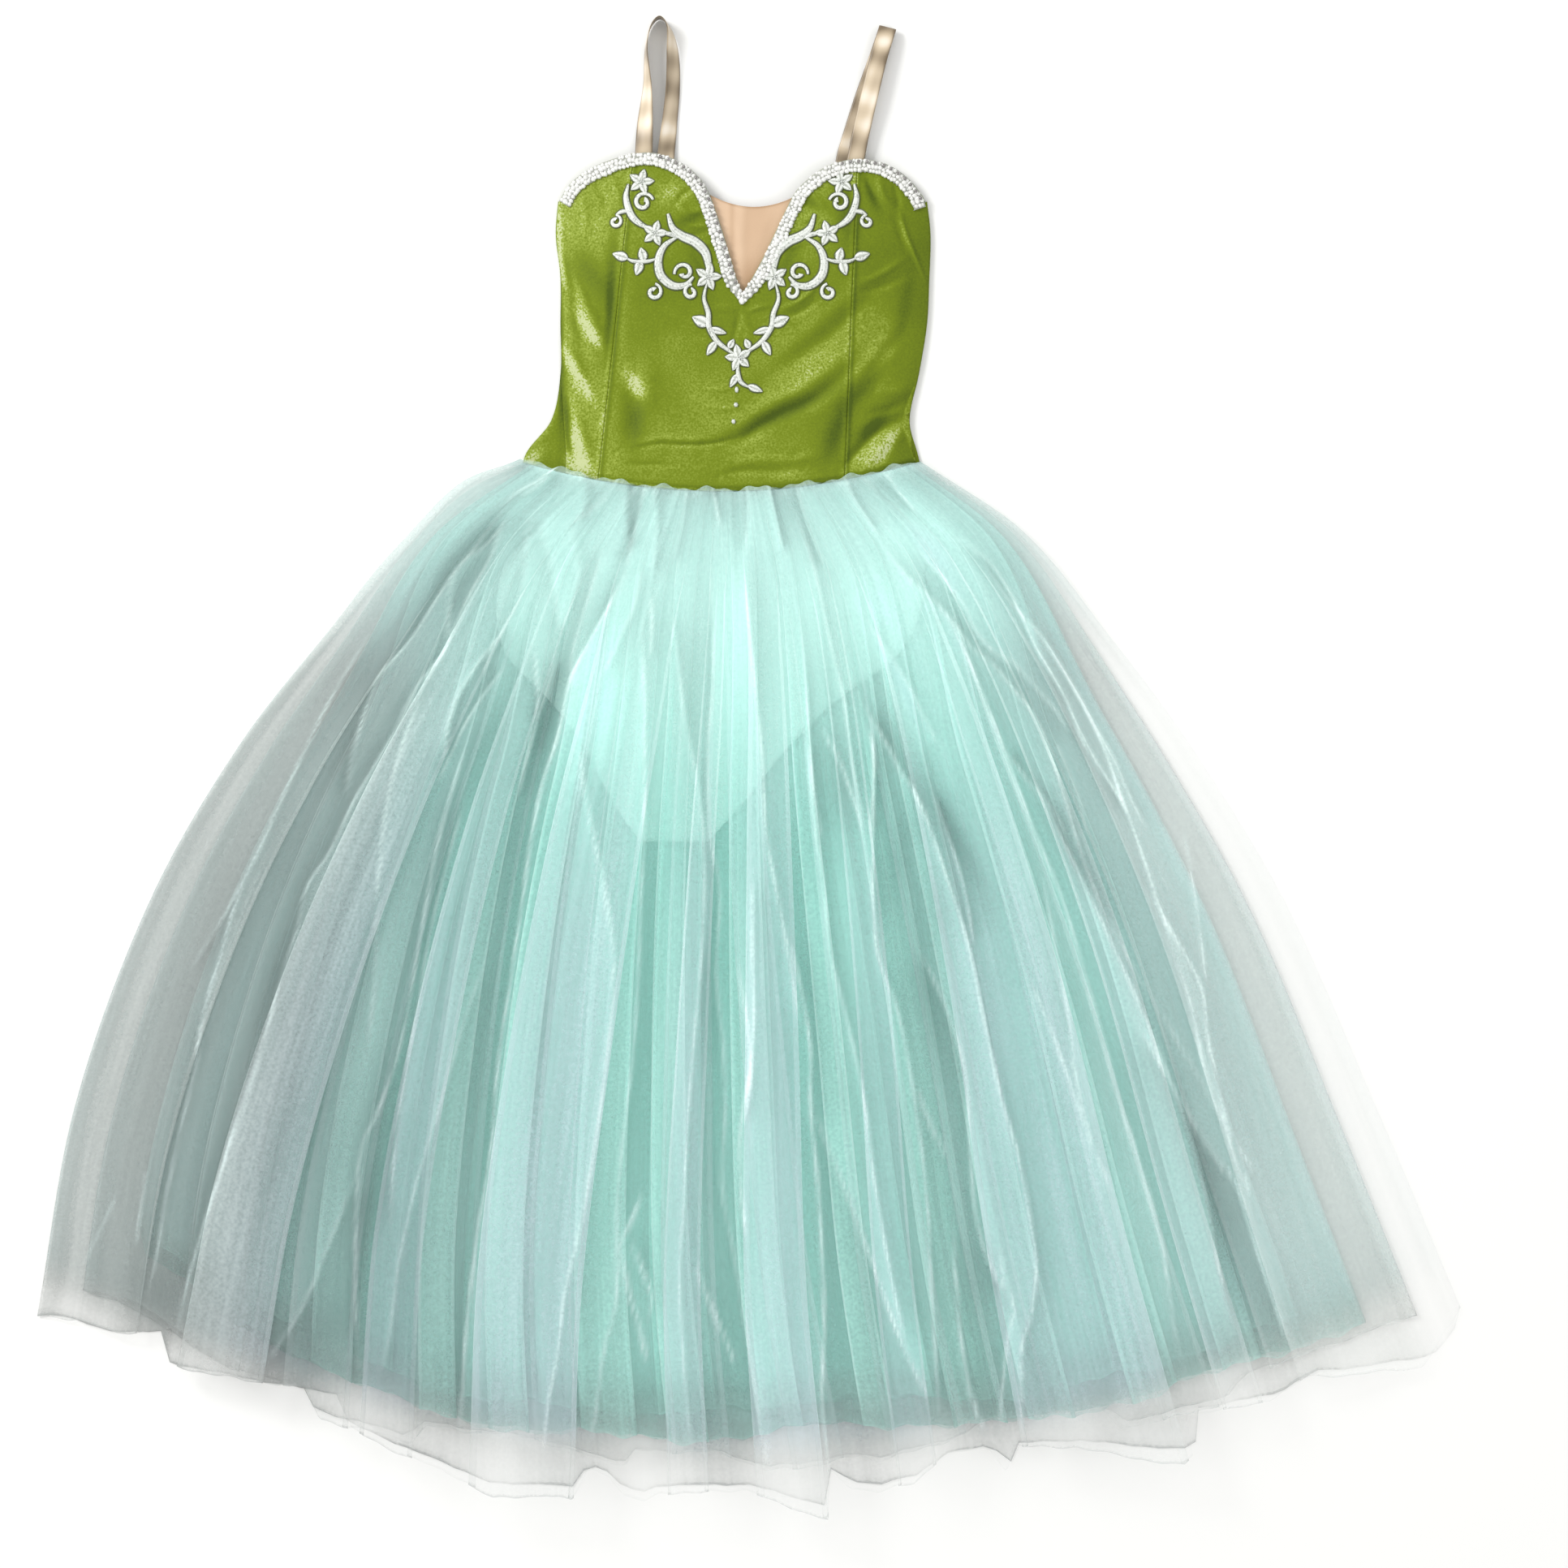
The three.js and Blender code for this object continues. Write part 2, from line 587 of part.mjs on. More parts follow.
// A band that follows a path and swells from its ends to its middle.
function stroke(path, widest, ends = 0.45) {
  const curve = new THREE.CatmullRomCurve3(path.map(([x, y]) => new THREE.Vector3(x, y, 0)));
  const steps = Math.max(3, path.length);
  const left = [];
  const right = [];
  for (let i = 0; i <= steps; i++) {
    const p = curve.getPoint(i / steps);
    const t = curve.getTangent(i / steps);
    const half = (widest / 2) * lerp(ends, 1, Math.sin((Math.PI * i) / steps));
    left.push([p.x - t.y * half, p.y + t.x * half]);
    right.unshift([p.x + t.y * half, p.y - t.x * half]);
  }
  return [...left, ...right];
}

// A curl: from its outer end, turning in towards the centre.
function curl(x, y, radius, start, turns, width) {
  const steps = Math.round(6 * Math.abs(turns));
  const path = Array.from({ length: steps + 1 }, (_, i) => {
    const angle = THREE.MathUtils.degToRad(start) + (2 * Math.PI * turns * i) / steps;
    const r = radius * (1 - (0.62 * i) / steps);
    return [x + r * Math.cos(angle), y + r * Math.sin(angle)];
  });
  return stroke(path, width, 0.6);
}

function leaf(x, y, length, width, direction) {
  const angle = THREE.MathUtils.degToRad(direction);
  return [
    [0, 0],
    [0.3, 0.42],
    [0.65, 0.4],
    [1, 0],
    [0.65, -0.4],
    [0.3, -0.42],
  ].map(([along, out]) => [
    x + along * length * Math.cos(angle) - out * width * Math.sin(angle),
    y + along * length * Math.sin(angle) + out * width * Math.cos(angle),
  ]);
}

function flower(x, y, radius) {
  return Array.from({ length: 15 }, (_, i) => {
    const r = radius * [0.58, 1, 1][i % 3];
    const angle = (2 * Math.PI * i) / 15 + Math.PI / 2;
    return [x + r * Math.cos(angle), y + r * Math.sin(angle)];
  });
}

// One half of the scrolled applique, in mm from the middle line and from a point just under the V.
const HALF_SCROLL = [
  flower(86, 106, 10.5),
  stroke([[97, 104], [99, 92], [95, 78], [88, 70], [77, 64]], 4.6),
  curl(84, 88, 8.6, 165, -1.15, 3.2),
  stroke([[95, 80], [102, 80], [108, 77]], 2.8),
  curl(108, 71.5, 5.6, 95, 1.05, 2.8),
  flower(74, 61, 10.5),
  stroke([[70, 62], [60, 60], [54, 57]], 3),
  stroke([[63, 78], [59, 66], [51, 59], [40, 54], [31, 45], [28, 33], [28.5, 26]], 6.4, 0.4),
  flower(28.5, 24, 11),
  stroke([[55, 58], [66, 50], [71, 38], [69, 25], [59, 16.5], [48, 17], [41, 24]], 5.6),
  curl(49, 27.5, 8.4, -10, 0.95, 3),
  stroke([[70, 40], [80, 37], [92, 37], [99, 40]], 2.6),
  leaf(97, 39.5, 14, 8, 18),
  leaf(83, 37, 12, 8, 75),
  leaf(86, 37.5, 13, 8, -72),
  curl(75, 11, 7, 100, 1.05, 3),
  curl(43, 11, 6.4, 95, -1.0, 3),
  stroke([[29, 20], [32, 6], [28, -7], [27, -18], [20, -30], [10, -38], [2, -43]], 3.6),
  leaf(27, -17, 16, 10, 205 - 180),
  leaf(26, -20, 15, 6, 196),
  leaf(20, -31, 14, 7, -58),
  leaf(9, -37, 9, 6, 118),
];
// The middle of the applique, which isn't mirrored.
const MIDDLE_SCROLL = [
  flower(0, -45, 11),
  stroke([[0, -50], [0, -58], [3, -66], [11, -71]], 3),
  leaf(9, -69, 14, 6, -22),
  leaf(0, -59, 13, 6, -118),
];
const SCROLL_AT = { x: 6, y: 155 };

const placed = (outline, side) =>
  outline.map(([x, y]) => [SCROLL_AT.x + side * x + 0.05 * Math.min(y, 0), SCROLL_AT.y + y]);

// The braid's plan: from just outside the neckline to its own width inside it.
function braidPrism(width) {
  const outer = [];
  const inner = [];
  NECKLINE.forEach((p, i) => {
    const a = NECKLINE[Math.max(i - 1, 0)];
    const b = NECKLINE[Math.min(i + 1, NECKLINE.length - 1)];
    const before = new THREE.Vector2(p.x - a.x, p.y - a.y).normalize();
    const after = new THREE.Vector2(b.x - p.x, b.y - p.y).normalize();
    const along = before.clone().add(after).normalize();
    const reach = width / Math.max(0.45, Math.abs(along.dot(i ? before : after)));
    outer.push([p.x - along.y * 4, p.y + along.x * 4]);
    inner.unshift([p.x + along.y * reach, p.y - along.x * reach]);
  });
  return prism([...outer, ...inner]);
}

const frontEnd = NECKLINE.length - 1;
const layerOn = (low, high) =>
  solid(wall(frontSheet(0, frontEnd, 0, 0, high), frontSheet(0, frontEnd, 0, 0, low)));

function braid() {
  return asGeometry(braidPrism(BRAID_WIDTH).intersect(layerOn(SEAM, SEAM + BRAID)));
}

function applique() {
  const outlines = [
    ...HALF_SCROLL.map((o) => placed(o, 1)),
    ...HALF_SCROLL.map((o) => placed(o, -1).reverse()),
    ...MIDDLE_SCROLL.map((o) => placed(o, 1)),
  ];
  const drawn = outlines.map(prism).reduce((all, next) => all.add(next));
  const cut = drawn.intersect(layerOn(SEAM, SEAM + APPLIQUE)).subtract(braidPrism(BRAID_WIDTH + SEAM));
  const pieces = cut.decompose().sort((a, b) => b.volume() - a.volume());
  return asGeometry(pieces[0]);
}

// ---- Assembly ----

const tutu = new THREE.Group();
tutu.name = "romantic_tutu";
tutu.position.set(WAIST_AT.x, WAIST_AT.y, 0);

function add(name, geometry, colour, roughness) {
  geometry.computeVertexNormals();
  const mesh = new THREE.Mesh(geometry, new THREE.MeshStandardMaterial({ color: colour, roughness, metalness: 0 }));
  mesh.name = name;
  tutu.add(mesh);
}

LAYERS.forEach((layer, k) => {
  add(`${layer.name}_back`, tulleBack(k), layer.colour, 0.8);
  add(`${layer.name}_front`, tulleFront(k), layer.colour, 0.8);
});

const briefLevel = edgeLevel(0);
add("brief_back", briefPanel(briefLevel), 0xc6f0e6, 0.6);
add("brief_front", briefPanel(briefLevel + LYCRA + SEAM), 0xc6f0e6, 0.6);

const VELVET_GREEN = 0x7f951f;
const velvetPanel = (first, last, insetLeft, insetRight) =>
  slab(frontSheet(first, last, insetLeft, insetRight, 0), VELVET);
add("bodice_back", backPanel(), VELVET_GREEN, 0.7);
add("bodice_front_centre", velvetPanel(LEFT_SEAM_COLUMN, RIGHT_SEAM_COLUMN, SEAM / 2, SEAM / 2), VELVET_GREEN, 0.7);
add("bodice_front_left", velvetPanel(0, LEFT_SEAM_COLUMN, 0, SEAM / 2), VELVET_GREEN, 0.7);
add("bodice_front_right", velvetPanel(RIGHT_SEAM_COLUMN, frontEnd, SEAM / 2, 0), VELVET_GREEN, 0.7);
add("neck_insert", neckInsert(), 0xe8c7a2, 0.6);
add("neck_braid", braid(), 0xe9e9e4, 0.4);
add("scroll_applique", applique(), 0xdfe2de, 0.4);
add("strap_left", strap(LEFT_STRAP, 0), 0xdcc6a4, 0.35);
add("strap_right", strap(RIGHT_STRAP, RIGHT_STRAP_YAW), 0xdcc6a4, 0.35);

export default tutu;
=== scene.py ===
"""A long romantic tutu laid flat and face up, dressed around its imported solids.

Sizes are in millimetres from the middle of the waist seam, +Y towards the straps and +Z up, until place() turns
them into the frame's metres.
"""

import logging
import math
from dataclasses import dataclass
from enum import Enum

import bpy
import numpy as np
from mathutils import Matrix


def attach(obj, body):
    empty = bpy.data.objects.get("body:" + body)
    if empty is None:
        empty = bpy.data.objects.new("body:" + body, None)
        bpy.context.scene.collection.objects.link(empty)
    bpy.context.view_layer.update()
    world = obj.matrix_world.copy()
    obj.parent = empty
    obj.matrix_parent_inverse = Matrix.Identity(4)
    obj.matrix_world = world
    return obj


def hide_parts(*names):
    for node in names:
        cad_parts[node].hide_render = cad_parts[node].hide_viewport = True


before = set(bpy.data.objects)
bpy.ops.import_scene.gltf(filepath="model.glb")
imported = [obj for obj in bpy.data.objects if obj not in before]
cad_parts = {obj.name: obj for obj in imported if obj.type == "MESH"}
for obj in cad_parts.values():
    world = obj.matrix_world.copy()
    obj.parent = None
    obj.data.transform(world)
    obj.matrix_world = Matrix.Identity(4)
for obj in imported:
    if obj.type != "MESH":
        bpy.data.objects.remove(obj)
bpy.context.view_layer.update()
LOG = logging.getLogger("tutu")

Array = np.ndarray
Material, Piece, Tree = bpy.types.Material, bpy.types.Object, bpy.types.NodeTree
Colour = tuple[float, float, float, float]
MM = 0.001

# ---- The frame's own sizes, as the solids have them ----

# The middle of the waist seam, in the frame.
WAIST_AT = (-14.0, 239.83)
# Gaps: between stacked cloths, at the waist seam, and between one tulle layer and the next.
SEAM = 0.3
WAIST_GAP = 0.45
DRIFT = 0.8
# The walls' thickness, and that of a tulle layer with its gap.
TULLE = 1.0
LYCRA = 1.0
VELVET = 2.0
LAYER = TULLE + DRIFT
# The skirt's length down its middle, how far a fold laps over its neck, and the skirt's lift over the brief.
FAN_LENGTH = 860.0
LAP_SHARE = 0.2
BRIEF_LIFT = 2 * (LYCRA + SEAM)
BRIEF_RAMP = 0.18

# v, half width, middle line, y at the side folds, y between them.
FAN = np.array([
    (0.0, 172, -12, 21, -5),
    (0.08, 261, -14, -38, -74),
    (0.2, 336, -15, -126, -177),
    (0.35, 410, -17, -223, -306),
    (0.55, 489, -15, -357, -478),
    (0.78, 560, -8, -532, -676),
    (1.0, 615, 14, -715, -865),
])
# v and the share of a layer's own rise.
FOLD_RISE = np.array([(0.0, 0.07), (0.07, 0.35), (0.2, 0.75), (0.5, 1.0), (0.8, 0.95), (1.0, 0.8)])
# Left and right edges at the waist, left and right edges at the hem, and how dense the fold looks.
VEIL_FOLDS = np.array([
    (-0.92, -0.8, -0.93, -0.86, 0.6),
    (-0.7, -0.55, -0.81, -0.67, 1.05),
    (-0.5, -0.41, -0.55, -0.46, 0.7),
    (-0.32, -0.09, -0.4, -0.235, 1.3),
    (-0.02, 0.04, -0.12, -0.05, 0.7),
    (0.09, 0.2, 0.0, 0.115, 0.95),
    (0.29, 0.37, 0.2, 0.27, 0.4),
    (0.44, 0.63, 0.375, 0.607, 1.15),
    (0.68, 0.75, 0.655, 0.72, 0.8),
    (0.8, 0.92, 0.76, 0.925, 1.1),
])
# Share across and how far the hem hangs below its curve there: the ragged veils, then the even mint layers.
TOP_HEM = np.array([
    (-1.0, 0), (-0.945, -14), (-0.89, -18), (-0.815, -42), (-0.808, -12), (-0.75, -20), (-0.67, -30),
    (-0.565, -42), (-0.555, -14), (-0.4, 8), (-0.355, 18), (-0.283, 8), (-0.247, 10), (-0.222, -19),
    (-0.196, -14), (-0.176, 3), (-0.146, 6), (-0.125, -3), (-0.003, -7), (0.058, 8), (0.104, 19),
    (0.115, -22), (0.139, -6), (0.176, -1), (0.229, -6), (0.275, -26), (0.339, -26), (0.357, -4), (0.374, -24),
    (0.455, -14), (0.59, 24), (0.606, 18), (0.61, -15), (0.665, -9), (0.723, -3), (0.781, -10), (0.839, 4),
    (0.925, 22), (0.955, 12), (1.0, -8),
])
GREY_HEM = np.array([
    (-1.0, -18), (-0.86, -34), (-0.72, -10), (-0.62, -18), (-0.6, 4), (-0.47, 4), (-0.45, -14), (-0.3, -20),
    (-0.17, -4), (-0.16, -18), (-0.04, -22), (0.03, -4), (0.16, -14), (0.18, -8), (0.31, -22), (0.33, -32),
    (0.5, -22), (0.52, 0), (0.66, 4), (0.7, -12), (0.86, -6), (1.0, 2),
])
MINT_HEM = np.array([
    (-1.0, -76), (-0.86, -76), (-0.79, -60), (-0.7, -24), (-0.556, -16), (-0.4, 4), (-0.23, -9), (-0.12, -3),
    (0.09, -20), (0.267, -12), (0.418, 2), (0.615, 2), (0.79, 5), (1.0, 14),
])
# Painted light and shade on the net, lighter towards the right and darker at the left, the waist and the hem: share
# across, and share down, with how much lighter or darker the net is painted there.
PAINTED_LIGHT_ACROSS = np.array([
    (-1.0, 1.05), (-0.75, 0.83), (-0.5, 0.98), (-0.22, 1.17), (0.03, 1.2), (0.28, 1.15), (0.53, 1.2),
    (0.78, 1.45), (1.0, 1.6),
])
PAINTED_LIGHT_DOWN = np.array([(0.0, 0.78), (0.05, 0.9), (0.12, 0.98), (0.22, 1.0), (0.86, 1.0), (0.95, 0.9), (1.0, 0.92)])
# y, front's left and right edge, back's left and right edge, height of the front's middle.
BODICE = np.array([
    (0, -146, 163, -184, 165, 15.2),
    (28, -145, 153, -180, 158, 14),
    (57, -147, 145, -158, 151, 13),
    (97, -149, 158, -150, 159, 12),
    (140, -149, 165, -150, 166, 12.4),
    (180, -149, 167, -150, 168, 13.5),
    (217, -153, 168, -154, 169, 13),
    (246, -151, 165, -152, 166, 11.5),
    (290, -146, 160, -148, 161, 9.6),
])
# Middle x and y, height and spread of each cup.
CUPS = ((-78, 212, 5.5, 36), (96, 208, 5.5, 36))
# x and y of the neckline's points from left to right, then which of them are the V and the tops of the seams.
NECKLINE = np.array([
    (-151, 246), (-141, 261), (-124, 273), (-105, 281), (-86, 286), (-67, 286), (-48, 279), (-34, 269),
    (-23, 254), (-15, 233), (-6, 205), (2, 178), (7, 166), (14, 176), (25, 196), (36, 219), (44, 236),
    (53, 253), (65, 265), (78, 274), (92, 279), (106, 281), (128, 278), (147, 267), (161, 251), (165, 241),
], dtype=float)
V_POINT = 12
LEFT_SEAM_COLUMN = 4
RIGHT_SEAM_COLUMN = 21
# x of the seams' feet, then y of the back's top edge at its middle and how much higher its ends are.
SEAM_FEET = (-117.0, 95.0)
BACK_NECK = (196.0, 50.0)
# y, half width, middle line.
BRIEF = np.array([
    (-3, 126, -12), (-30, 150, -14), (-70, 181, -18), (-140, 172, -27),
    (-188, 120, -36), (-230, 84, -42), (-270, 58, -48), (-306, 29, -52),
])
STRAP_WIDTH = 15.0
STRAP_WALL = 1.0
TUCK_GAP = 0.4
# x, y, z of the ribbon's middle and the turn of its width. A z below 0 stands for the tuck under the velvet.
LEFT_STRAP = np.array([
    (-78, 266, -1, 0), (-78, 284, -1, 0), (-77, 312, 4.8, 25), (-75, 345, 7.0, 60), (-76, 376, 8.1, 80),
    (-72, 395, 8.2, 86), (-64, 403, 8.2, 90), (-56, 394, 8.0, 104), (-53, 372, 6.8, 132),
    (-53, 343, 5.6, 142), (-56, 312, 4.8, 150), (-59, 286, 3.6, 170), (-61, 255, 2.9, 180),
    (-62, 208, 2.8, 180),
])
RIGHT_STRAP = np.array([
    (100, 264, -1, 0), (104, 279, -1, 0), (108, 300, 7.6, 4), (116, 335, 9.4, 6), (124, 368, 9.4, 4),
    (130, 388, 8.2, 0), (132, 395, 5.0, 0), (129, 386, 1.8, 0), (122, 366, 0.8, 0), (111, 335, 0.8, 0),
    (100, 300, 1.0, 0), (95, 282, 1.6, 0), (91, 255, 2.8, 0), (90, 208, 2.8, 0),
])
RIGHT_STRAP_YAW = -14.0
# The point on the bodice that the scroll is laid out from.
SCROLL_AT = (6.0, 155.0)
# A wave texture has this many bands in each unit of its scale.
WAVE_UNIT = 20


# ---- Small tools ----


def place(points: Array) -> Array:
    """Turn rows of millimetres from the waist seam into the frame's metres."""
    return (points + np.array([*WAIST_AT, 0.0])) * MM


def smooth(at: Array, low: Array, high: Array) -> Array:
    """Ease from 0 at low to 1 at high: 3 t squared minus 2 t cubed."""
    t = np.clip((at - low) / (high - low), 0.0, 1.0)
    return t * t * (3 - 2 * t)


def lerp(a: Array, b: Array, t: Array) -> Array:
    """Return the value a share t of the way from a to b."""
    return a + (b - a) * t


def uneven(i: Array, turn: float) -> Array:
    """Return values from -1 to 1 that don't repeat soon: a sine of i times a slower cosine of i."""
    return np.sin(i * 2.399 + turn) * np.cos(i * 1.07 + 2 * turn)


def cubic(first: Array, last: Array, m0: Array, m1: Array, t: Array) -> Array:
    """Return the cubic from first to last that leaves with slope m0 and arrives with slope m1, at share t."""
    rise = last - first
    return first + t * m0 + t**2 * (3 * rise - 2 * m0 - m1) + t**3 * (m0 + m1 - 2 * rise)


def neighbours(count: int) -> tuple[Array, Array]:
    """Return the numbers of the rows before and after each row of a table, without leaving it."""
    n = np.arange(count)
    return np.maximum(n - 1, 0), np.minimum(n + 1, count - 1)


def track(table: Array, at: Array, column: int) -> Array:
    """Follow a smooth curve through one column of a table, cubic between rows and straight past the last.

    Args:
        table: rows whose first column is the place.
        at: the places wanted.
        column: the column to read.
    Returns:
        The values there.
    """
    places, values = table[:, 0], table[:, column]
    low, high = neighbours(len(places))
    slopes = (values[high] - values[low]) / (places[high] - places[low])
    at = np.asarray(at, dtype=float)
    i = np.clip(np.searchsorted(places, at, side="left") - 1, 0, len(places) - 2)
    span = places[i + 1] - places[i]
    t = np.clip((at - places[i]) / span, 0.0, 1.0)
    inside = cubic(values[i], values[i + 1], slopes[i] * span, slopes[i + 1] * span, t)
    return np.where(at > places[-1], values[-1] + slopes[-1] * (at - places[-1]), inside)


def through(points: Array, at: Array) -> Array:
    """Follow a smooth line through points, where place n is the nth point: cubic pieces with centred slopes.

    Args:
        points: rows of coordinates.
        at: the places, from 0 to the last point's number.
    Returns:
        A row of coordinates for each place.
    """
    low, high = neighbours(len(points))
    slopes = (points[high] - points[low]) / (high - low)[:, None]
    i = np.clip(np.floor(at).astype(int), 0, len(points) - 2)
    return cubic(points[i], points[i + 1], slopes[i], slopes[i + 1], (np.asarray(at) - i)[..., None])


def directions(path: Array) -> Array:
    """Return the unit direction of a path at each of its points, from centred differences."""
    along = np.gradient(path, axis=0)
    return along / np.linalg.norm(along, axis=1, keepdims=True)


def run_along(path: Array) -> Array:
    """Return how far along a path each of its points lies."""
    return np.concatenate([[0], np.cumsum(np.linalg.norm(np.diff(path, axis=0), axis=1))])


def ellipses(table: tuple[tuple[float, ...], ...], x: Array, y: Array) -> Array:
    """Add up soft slanting ellipses: each a bell along its own direction times a bell across it.

    Args:
        table: middle, half length, half width, direction in degrees and strength of each.
        x: places across.
        y: places along.
    Returns:
        The sum at each place.
    """
    total = np.zeros_like(x)
    for at_x, at_y, long, wide, angle, strength in table:
        turn = math.radians(angle)
        along = (x - at_x) * math.cos(turn) + (y - at_y) * math.sin(turn)
        aside = (y - at_y) * math.cos(turn) - (x - at_x) * math.sin(turn)
        total += strength * np.exp(-((along / long) ** 2) - (aside / wide) ** 2)
    return total


def grid_faces(rows: int, columns: int, start: int = 0, around: bool = False, turned: bool = False) -> Array:
    """List the quads of a grid of points.

    Args:
        rows: the number of rows.
        columns: the number of points in a row.
        start: the number of the first point.
        around: whether each row closes on itself.
        turned: whether the faces look the other way.
    Returns:
        Rows of four point numbers.
    """
    r = np.arange(rows - 1)[:, None]
    c = np.arange(columns if around else columns - 1)[None, :]
    d = (c + 1) % columns
    quads = np.stack([r * columns + c, r * columns + d, (r + 1) * columns + d, (r + 1) * columns + c], -1)
    quads = quads.reshape(-1, 4) + start
    return quads[:, ::-1] if turned else quads


def shell(upper: Array, lower: Array) -> tuple[Array, Array]:
    """Join two grids of points, an upper and a lower face, into one closed wall.

    Args:
        upper: rows by columns by 3.
        lower: the same, under it.
    Returns:
        The points and the quads, facing out when rows run down and columns run right.
    """
    rows, columns = upper.shape[:2]
    n = rows * columns
    top = np.arange(n).reshape(rows, columns)
    rim = np.concatenate([top[0, :-1], top[:-1, -1], top[-1, :0:-1], top[:0:-1, 0]])
    after = np.roll(rim, -1)
    side = np.stack([rim, after, after + n, rim + n], -1)
    faces = np.concatenate([
        grid_faces(rows, columns, turned=True),
        grid_faces(rows, columns, start=n),
        side,
    ])
    return np.concatenate([upper.reshape(-1, 3), lower.reshape(-1, 3)]), faces


def grid_normals(points: Array) -> Array:
    """Work out a grid's unit normals, the cross product of its two centred differences, pointing up."""
    normals = np.cross(np.gradient(points, axis=0), np.gradient(points, axis=1))
    return normals / np.maximum(np.linalg.norm(normals, axis=-1, keepdims=True), 1e-9)


def linear(colour: str) -> Colour:
    """Turn an sRGB hex colour into linear red, green, blue and alpha."""
    parts = [int(colour[i : i + 2], 16) / 255 for i in (1, 3, 5)]
    return tuple(p / 12.92 if p <= 0.04045 else ((p + 0.055) / 1.055) ** 2.4 for p in parts) + (1.0,)


def feed(tree: Tree, node: bpy.types.Node, values: dict) -> bpy.types.Node:
    """Set up a node: a link where the value is a socket, and otherwise a property or a socket's own value.

    Args:
        tree: the material's node tree.
        node: the node.
        values: what goes in, by the name of a property or the name or number of a socket. Under stops, the
            places and colours of a colour ramp.
    Returns:
        The node.
    """
    for key, value in values.items():
        if isinstance(value, bpy.types.NodeSocket):
            tree.links.new(value, node.inputs[key])
        elif key == "stops":
            ramp = node.color_ramp.elements
            for place_at, tone in value[1:-1]:
                ramp.new(place_at).color = linear(tone)
            for end, (place_at, tone) in ((ramp[0], value[0]), (ramp[-1], value[-1])):
                end.position, end.color = place_at, linear(tone)
        elif isinstance(key, int) or (not hasattr(node, key) and key in node.inputs):
            node.inputs[key].default_value = value
        else:
            setattr(node, key, value)
    return node


def add_node(tree: Tree, kind: str, values: dict | None = None) -> bpy.types.Node:
    """Add a node of a kind, with its settings and its incoming links, and return it."""
    return feed(tree, tree.nodes.new(f"ShaderNode{kind}"), values or {})


def new_piece(name: str, points: Array, faces: Array, material: Material, uv: Array | None = None,
              values: dict[str, Array] | None = None, tint: Array | None = None) -> Piece:
    """Put worked-out points and faces into a new object that rides on the garment.

    Args:
        name: the piece's name.
        points: rows of x, y, z in millimetres.
        faces: rows of point numbers, three or four to a face.
        material: its finish.
        uv: two cloth coordinates for each point, in metres.
        values: named numbers for each point.
        tint: a linear colour for each point.
    Returns:
        The object.
    """
    mesh = bpy.data.meshes.new(name)
    count, corners = faces.shape
    mesh.vertices.add(len(points))
    mesh.vertices.foreach_set("co", place(points).astype(np.float32).ravel())
    mesh.loops.add(count * corners)
    mesh.loops.foreach_set("vertex_index", faces.astype(np.int32).ravel())
    mesh.polygons.add(count)
    mesh.polygons.foreach_set("loop_start", np.arange(0, count * corners, corners, dtype=np.int32))
    mesh.update(calc_edges=True)
    if uv is not None:
        layer = mesh.uv_layers.new(name="cloth")
        layer.data.foreach_set("uv", uv[faces.ravel()].astype(np.float32).ravel())
    for key, value in (values or {}).items():
        mesh.attributes.new(key, "FLOAT", "POINT").data.foreach_set("value", value.astype(np.float32).ravel())
    if tint is not None:
        rgba = np.concatenate([tint, np.ones((len(tint), 1))], axis=1)
        mesh.attributes.new("tint", "FLOAT_COLOR", "POINT").data.foreach_set(
            "color", rgba.astype(np.float32).ravel())
    mesh.polygons.foreach_set("use_smooth", np.ones(count, dtype=bool))
    mesh.materials.append(material)
    piece = bpy.data.objects.new(name, mesh)
    bpy.context.scene.collection.objects.link(piece)
    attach(piece, "root")
    LOG.info("%s: %d points, %d faces", name, len(points), count)
    return piece


def new_wall(name: str, upper: Array, lower: Array, material: Material, uv: Array | None = None,
             **values: Array) -> Piece:
    """Put the closed wall between two grids into a new object that rides on the garment.

    Args:
        name: the piece's name.
        upper: the upper face, rows by columns by 3, in millimetres.
        lower: the same, under it.
        material: its finish.
        uv: two cloth coordinates for each point of a face, in millimetres.
        values: named numbers for each point of a face.
    Returns:
        The object.
    """
    points, faces = shell(upper, lower)
    both = None if uv is None else np.tile(uv.reshape(-1, 2) * MM, (2, 1))
    return new_piece(name, points, faces, material, both,
                     {key: np.tile(value.reshape(-1), 2) for key, value in values.items()})


# ---- Finishes ----


@dataclass(frozen=True)
class Finish:
    """A finish named for the real material. Each kind says what goes into its shader."""

    name: str

    def make(self) -> Material:
        """Return the material: constants straight on the shader's own sockets, and links for the rest."""
        material = bpy.data.materials.new(self.name)
        material.use_nodes = True
        tree = material.node_tree
        feed(tree, tree.nodes["Principled BSDF"], self.sockets(tree))
        return material

    def sockets(self, tree: Tree) -> dict:
        """Return what goes into the shader's sockets, by name."""
        raise NotImplementedError


